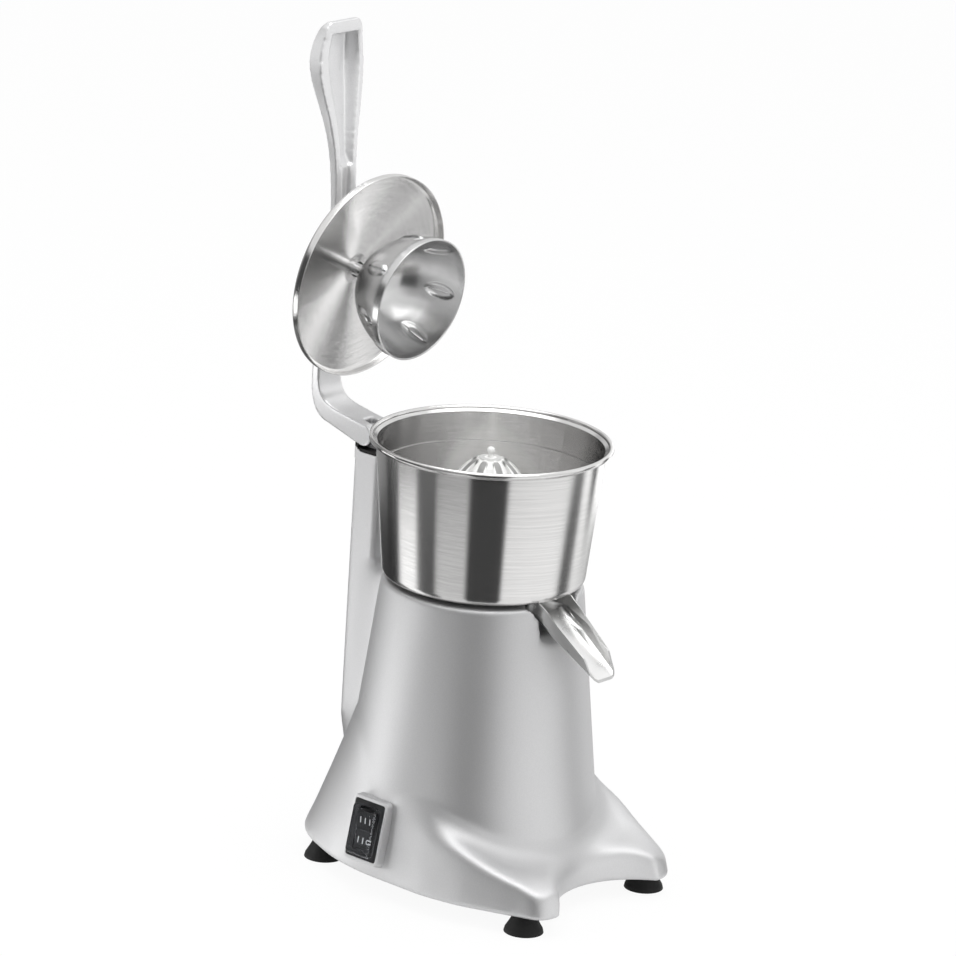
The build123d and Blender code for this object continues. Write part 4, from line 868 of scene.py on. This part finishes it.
cup = add_piece("press_cup_spun", spun_cup(), "lever", finishes["polished"], "polished", "press_cup")
cup.matrix_world = press_place
sheet = cup.modifiers.new("sheet", "SOLIDIFY")
sheet.thickness = cup_sheet
sheet.offset = -1
sheet.use_even_offset = True

# Raised rim of the casting round the switch: half width, half height, corner and level of each ring
switch_lean = math.radians(12)
switch_out = Vector((-math.cos(switch_lean), 0, math.sin(switch_lean)))
switch_up = Vector((math.sin(switch_lean), 0, math.cos(switch_lean)))
switch_ahead = Vector((0, -1, 0))
switch_middle = Vector((-0.1115, spindle.y + 0.012, 0.054))
rim_rings = [(0.01605, 0.02405, 0.0021, -0.003), (0.01605, 0.02405, 0.0021, 0.0031),
             (0.0163, 0.0243, 0.0023, 0.0034), (0.0179, 0.0259, 0.0036, 0.0034),
             (0.0186, 0.0266, 0.0042, 0.0031), (0.0189, 0.0269, 0.0045, 0.0024),
             (0.0205, 0.0295, 0.006, -0.013), (0.0168, 0.0248, 0.0025, -0.013)]


def round_rectangle(half_width, half_height, corner, steps=8):
    line = []
    for quarter, (u, v) in enumerate(((1, 1), (-1, 1), (-1, -1), (1, -1))):
        for step in range(steps + 1):
            turn = math.pi / 2 * (quarter + step / steps)
            line.append((u * (half_width - corner) + corner * math.cos(turn),
                         v * (half_height - corner) + corner * math.sin(turn)))
    return line


def raised_rim():
    made = bmesh.new()
    loops = []
    for half_width, half_height, corner, level in rim_rings:
        outline = round_rectangle(half_width, half_height, corner)
        flat = switch_middle + switch_out * level
        loops.append([made.verts.new(flat + switch_ahead * u + switch_up * v) for u, v in outline])
    for near, far in zip(loops, loops[1:] + loops[:1]):
        for k in range(len(near)):
            made.faces.new((near[k - 1], near[k], far[k], far[k - 1]))
    bmesh.ops.recalc_face_normals(made, faces=made.faces)
    return bmesh_to_mesh(made, "switch_rim", 35)


add_piece("switch_rim", raised_rim(), "machine", finishes["paint"], "paint")

# Marks on the rocker: short strokes above, strokes and a ring below
rocker_turn = math.radians(6)
rocker_up = switch_up * math.cos(rocker_turn) + switch_out * math.sin(rocker_turn)
rocker_out = switch_out * math.cos(rocker_turn) - switch_up * math.sin(rocker_turn)
rocker_axle = switch_middle - switch_out * 0.0025
rocker_waist = 0.00556
rocker_slope = 0.0014 / 0.0165
mark_thick = 0.00005
mark_level = 0.0085
stroke_places = (-0.0055, -0.0005, 0.0045)
stroke_half_width = 0.0005
stroke_half_length = 0.0026
ring_steps = 12
ring_place = 0.0048
ring_half_width = 0.0015
ring_half_length = 0.0017
ring_stroke = (0.00042, 0.00045)


def stroke(made, across, along, half_width, half_length):
    """A thin raised bar on the rocker's upper or lower face."""
    sign = 1 if along > 0 else -1
    step = (rocker_up + rocker_out * rocker_slope * sign).normalized()
    lift = switch_ahead.cross(step).normalized()
    lift = lift if lift.dot(rocker_out) > 0 else -lift
    base = rocker_axle + switch_ahead * across + rocker_up * along
    base = base + rocker_out * (rocker_waist + rocker_slope * abs(along))
    corners = ((-1, -1), (1, -1), (1, 1), (-1, 1))
    ring = [base + switch_ahead * (half_width * p) + step * (half_length * q) for p, q in corners]
    top = [made.verts.new(spot + lift * mark_thick) for spot in ring]
    low = [made.verts.new(spot) for spot in ring]
    made.faces.new(top)
    made.faces.new(low[::-1])
    for k in range(4):
        made.faces.new((low[k], low[(k + 1) % 4], top[(k + 1) % 4], top[k]))


def marks():
    made = bmesh.new()
    for across in stroke_places:
        stroke(made, across, mark_level, stroke_half_width, stroke_half_length)
    for across in stroke_places[:2]:
        stroke(made, across, -mark_level, stroke_half_width, stroke_half_length)
    for turn in turns(ring_steps):
        across = ring_place + ring_half_width * math.cos(turn)
        stroke(made, across, -mark_level + ring_half_length * math.sin(turn), *ring_stroke)
    bmesh.ops.recalc_face_normals(made, faces=made.faces)
    return bmesh_to_mesh(made, "rocker_marks")


add_piece("rocker_marks", marks(), "rocker_body", mark_paint, "white_plastic")

# Camera of the photograph
azimuth = math.radians(-49.87)
elevation = math.radians(16.94)
roll = math.radians(3.58)
aim_height = 0.33624
aim_left = 0.00916
camera_distance = 4.68097
right = Vector((math.cos(azimuth), math.sin(azimuth), 0))
behind = Vector((math.sin(azimuth), -math.cos(azimuth), 0))
back = behind * math.cos(elevation) + Vector((0, 0, math.sin(elevation)))
above = back.cross(right)
level = right * math.cos(roll) + above * math.sin(roll)
upright = above * math.cos(roll) - right * math.sin(roll)
aim = spindle + Vector((0, 0, aim_height)) - right * aim_left
lens = bpy.data.cameras.new("photo_camera")
lens.sensor_width = 36
lens.lens = 216.25
lens.clip_end = 60
camera = bpy.data.objects.new("photo_camera", lens)
facing_camera = Matrix((level, upright, back)).transposed().to_4x4()
camera.matrix_world = Matrix.Translation(aim + back * camera_distance) @ facing_camera
scene.collection.objects.link(camera)
scene.camera = camera

# Panels of the studio: bearings in degrees, with the camera's own at 0, and how bright each is
lower_cards = [(-180, 0.5), (-172, 0.4), (-164, 0.05), (-102, 0.03), (-97, 1.35), (-76, 1.35), (-71, 0.1),
               (-53, 0.1), (-49, 0.76), (-20, 0.72), (-16, 0.045), (17, 0.045), (21, 1.05), (84, 1.15),
               (88, 0.1), (102, 0.1), (107, 1.0), (130, 0.9), (150, 0.45), (180, 0.5)]
middle_cards = [(-180, 0.12), (-162, 0.15), (-150, 0.32), (-122, 0.32), (-112, 0.03), (-70, 0.03),
                (-58, 0.2), (-20, 0.3), (-15, 0.05), (16, 0.05), (22, 0.7), (85, 1.0), (89, 0.25),
                (100, 0.25), (104, 1.3), (113, 1.3), (118, 0.03), (126, 0.03), (130, 1.6), (154, 1.6),
                (162, 0.7), (170, 0.12), (180, 0.12)]
upper_cards = [(-180, 0.9), (-155, 0.4), (-125, 0.35), (-106, 0.3), (-96, 0.06), (-66, 0.06), (-50, 0.4),
               (-20, 0.5), (0, 0.5), (20, 0.9), (60, 1.0), (100, 1.15), (150, 1.1), (165, 0.95), (180, 0.9)]
wall_cards = [(-180, 0.8), (-130, 0.6), (-100, 0.65), (-70, 0.75), (-30, 0.85), (10, 0.8), (40, 0.9),
              (100, 1.0), (150, 1.0), (180, 0.8)]


def grey(level):
    return (level, level, level)


def bearing(finish, way):
    """Bearing of a direction round the object, from 0 to 1, with the camera at a half."""
    to_right = finish.vector("DOT_PRODUCT", way, right, out="Value")
    to_camera = finish.vector("DOT_PRODUCT", way, behind, out="Value")
    return finish.maths("ARCTAN2", to_right, to_camera) / (2 * math.pi) + 0.5


def row_of(finish, cards, turn):
    stops = [((degrees + 180) / 360, level) for degrees, level in cards]
    return finish.node("ShaderNodeValToRGB", {"stops": stops}, {"Fac": turn})


# Studio round the object: pale panels by direction, white to the camera
world = bpy.data.worlds.new("studio")
scene.world = world
sky = Finish("studio", world)
heading = sky.node("ShaderNodeTexCoord", {}, {}, "Generated")
climb = sky.node("ShaderNodeSeparateXYZ", {}, {"Vector": heading}, "Z")
light = sky.shade(row_of(sky, wall_cards, bearing(sky, heading)), grey(1.0), climb.smooth(0.42, 0.68))
panels = sky.node("ShaderNodeBackground", {}, {"Color": light, "Strength": 1.0})
white = sky.node("ShaderNodeBackground", {}, {"Color": (1, 1, 1, 1), "Strength": 1.0})
camera_ray = sky.node("ShaderNodeLightPath", {}, {}, "Is Camera Ray")
seen = sky.node("ShaderNodeMixShader", {}, {0: camera_ray, 1: panels, 2: white})
sky.node("ShaderNodeOutputWorld", {}, {"Surface": seen})

# Flags and cards that stand round the object, seen in its metal only
flag_rings = ((0.2, 0.0006), (0.42, 0.0006), (0.42, 0.70))
flag_steps = 180
low_to_middle = (0.16, 0.21)
middle_to_high = (0.42, 0.48)
high_to_crown = (0.58, 0.64)
crown_grey = 0.95
bar_grey = 0.03
bar_heights = ((0.238, 0.246), (0.288, 0.298))
bar_bearings = ((0.868, 0.876), (0.968, 0.98))
arm_card_grey = 2.2
arm_card_heights = ((0.285, 0.305), (0.385, 0.405))
arm_card_bearings = ((0.195, 0.208), (0.250, 0.262))


def flag_sheet():
    made = bmesh.new()
    rows = []
    for radius, height in flag_rings:
        spokes = [Vector((math.cos(turn), math.sin(turn), 0)) * radius for turn in turns(flag_steps)]
        foot = spindle + Vector((0, 0, height))
        rows.append([made.verts.new(foot + spoke) for spoke in spokes])
    for near, far in zip(rows, rows[1:]):
        for step in range(flag_steps):
            made.faces.new((near[step], near[step - 1], far[step - 1], far[step]))
    return bmesh_to_mesh(made, "flags")


def flag_cards():
    """Three rows of cards, one above the other, with a dark bar, a bright card and a pale top."""
    f = Finish("flag_cards")
    spread = f.vector("SUBTRACT", f.place(), spindle)
    turn = bearing(f, spread)
    height = f.node("ShaderNodeSeparateXYZ", {}, {"Vector": spread}, "Z")
    low, middle, high = (row_of(f, cards, turn) for cards in (lower_cards, middle_cards, upper_cards))
    dark_bar = height.window(*bar_heights) * turn.window(*bar_bearings)
    arm_card = height.window(*arm_card_heights) * turn.window(*arm_card_bearings)
    shown = f.shade(low, middle, height.smooth(*low_to_middle))
    shown = f.shade(shown, grey(bar_grey), dark_bar)
    shown = f.shade(shown, grey(arm_card_grey), arm_card)
    shown = f.shade(shown, high, height.smooth(*middle_to_high))
    shown = f.shade(shown, grey(crown_grey), height.smooth(*high_to_crown))
    gleam = f.node("ShaderNodeEmission", {}, {"Color": shown, "Strength": 1.0})
    f.node("ShaderNodeOutputMaterial", {}, {"Surface": gleam})
    return f.owner


flags = bpy.data.objects.new("flags", flag_sheet())
flags.data.materials.append(flag_cards())
scene.collection.objects.link(flags)
flags.visible_camera = False
flags.visible_diffuse = False
flags.visible_shadow = False
flags.visible_transmission = False

# Pale floor that keeps a soft shadow
floor_half = 9
floor_gap = 0.0002
floor_white = 0.92
floor_in_metal = 0.45


def pale_floor():
    f = Finish("pale_floor")
    speck = f.noise(f.place(), scale=40.0)
    lit = f.node("ShaderNodeBsdfDiffuse", {}, {"Color": f.shade(grey(0.78), grey(0.82), speck)})
    glow = f.node("ShaderNodeEmission", {}, {"Color": (1, 1, 1, 1), "Strength": 1.0})
    ray = f.node("ShaderNodeLightPath", {}, {}, "Is Camera Ray")
    path = f.maths("MAXIMUM", ray * floor_white, ray.part("Is Glossy Ray") * floor_in_metal)
    path = f.maths("MAXIMUM", path, ray.part("Is Transmission Ray") * floor_white)
    mixed = f.node("ShaderNodeMixShader", {}, {0: path, 1: lit, 2: glow})
    f.node("ShaderNodeOutputMaterial", {}, {"Surface": mixed})
    return f.owner


floor_corners = [(floor_half * u, floor_half * v, 0) for u, v in ((-1, -1), (1, -1), (1, 1), (-1, 1))]
floor_mesh = bpy.data.meshes.new("floor")
floor_mesh.from_pydata(floor_corners, [], [(0, 1, 2, 3)])
floor_mesh.materials.append(pale_floor())
floor = bpy.data.objects.new("floor", floor_mesh)
floor.location.z = cad_low.z - floor_gap
scene.collection.objects.link(floor)

# Lamps
lamp_base = 0.3


def softbox(name, place, size, power):
    data = bpy.data.lights.new(name, "AREA")
    data.shape = "RECTANGLE"
    data.size, data.size_y = size
    data.energy = power
    lamp = bpy.data.objects.new(name, data)
    lamp.location = place
    lamp.rotation_euler = (aim - place).to_track_quat("-Z", "Y").to_euler()
    scene.collection.objects.link(lamp)


def round_about(degrees, rise, distance):
    """A place by its bearing, with the camera's own at 0, its rise and its distance."""
    turn = math.radians(degrees)
    way = behind * math.cos(turn) + right * math.sin(turn)
    return spindle + Vector((0, 0, lamp_base + rise)) + way * distance


softbox("left_strip", round_about(-90, -0.15, 1.0), size=(0.5, 0.35), power=3.4)
softbox("right_strip", round_about(48, 0.3, 1.9), size=(0.8, 1.4), power=3.4)
softbox("front_top", round_about(18, 2.2, 0.95), size=(2.2, 1.8), power=12)
softbox("top", aim - back * 0.2 + Vector((0, 0, 2.2)), size=(1.8, 1.8), power=22)

scene.view_settings.view_transform = "Standard"
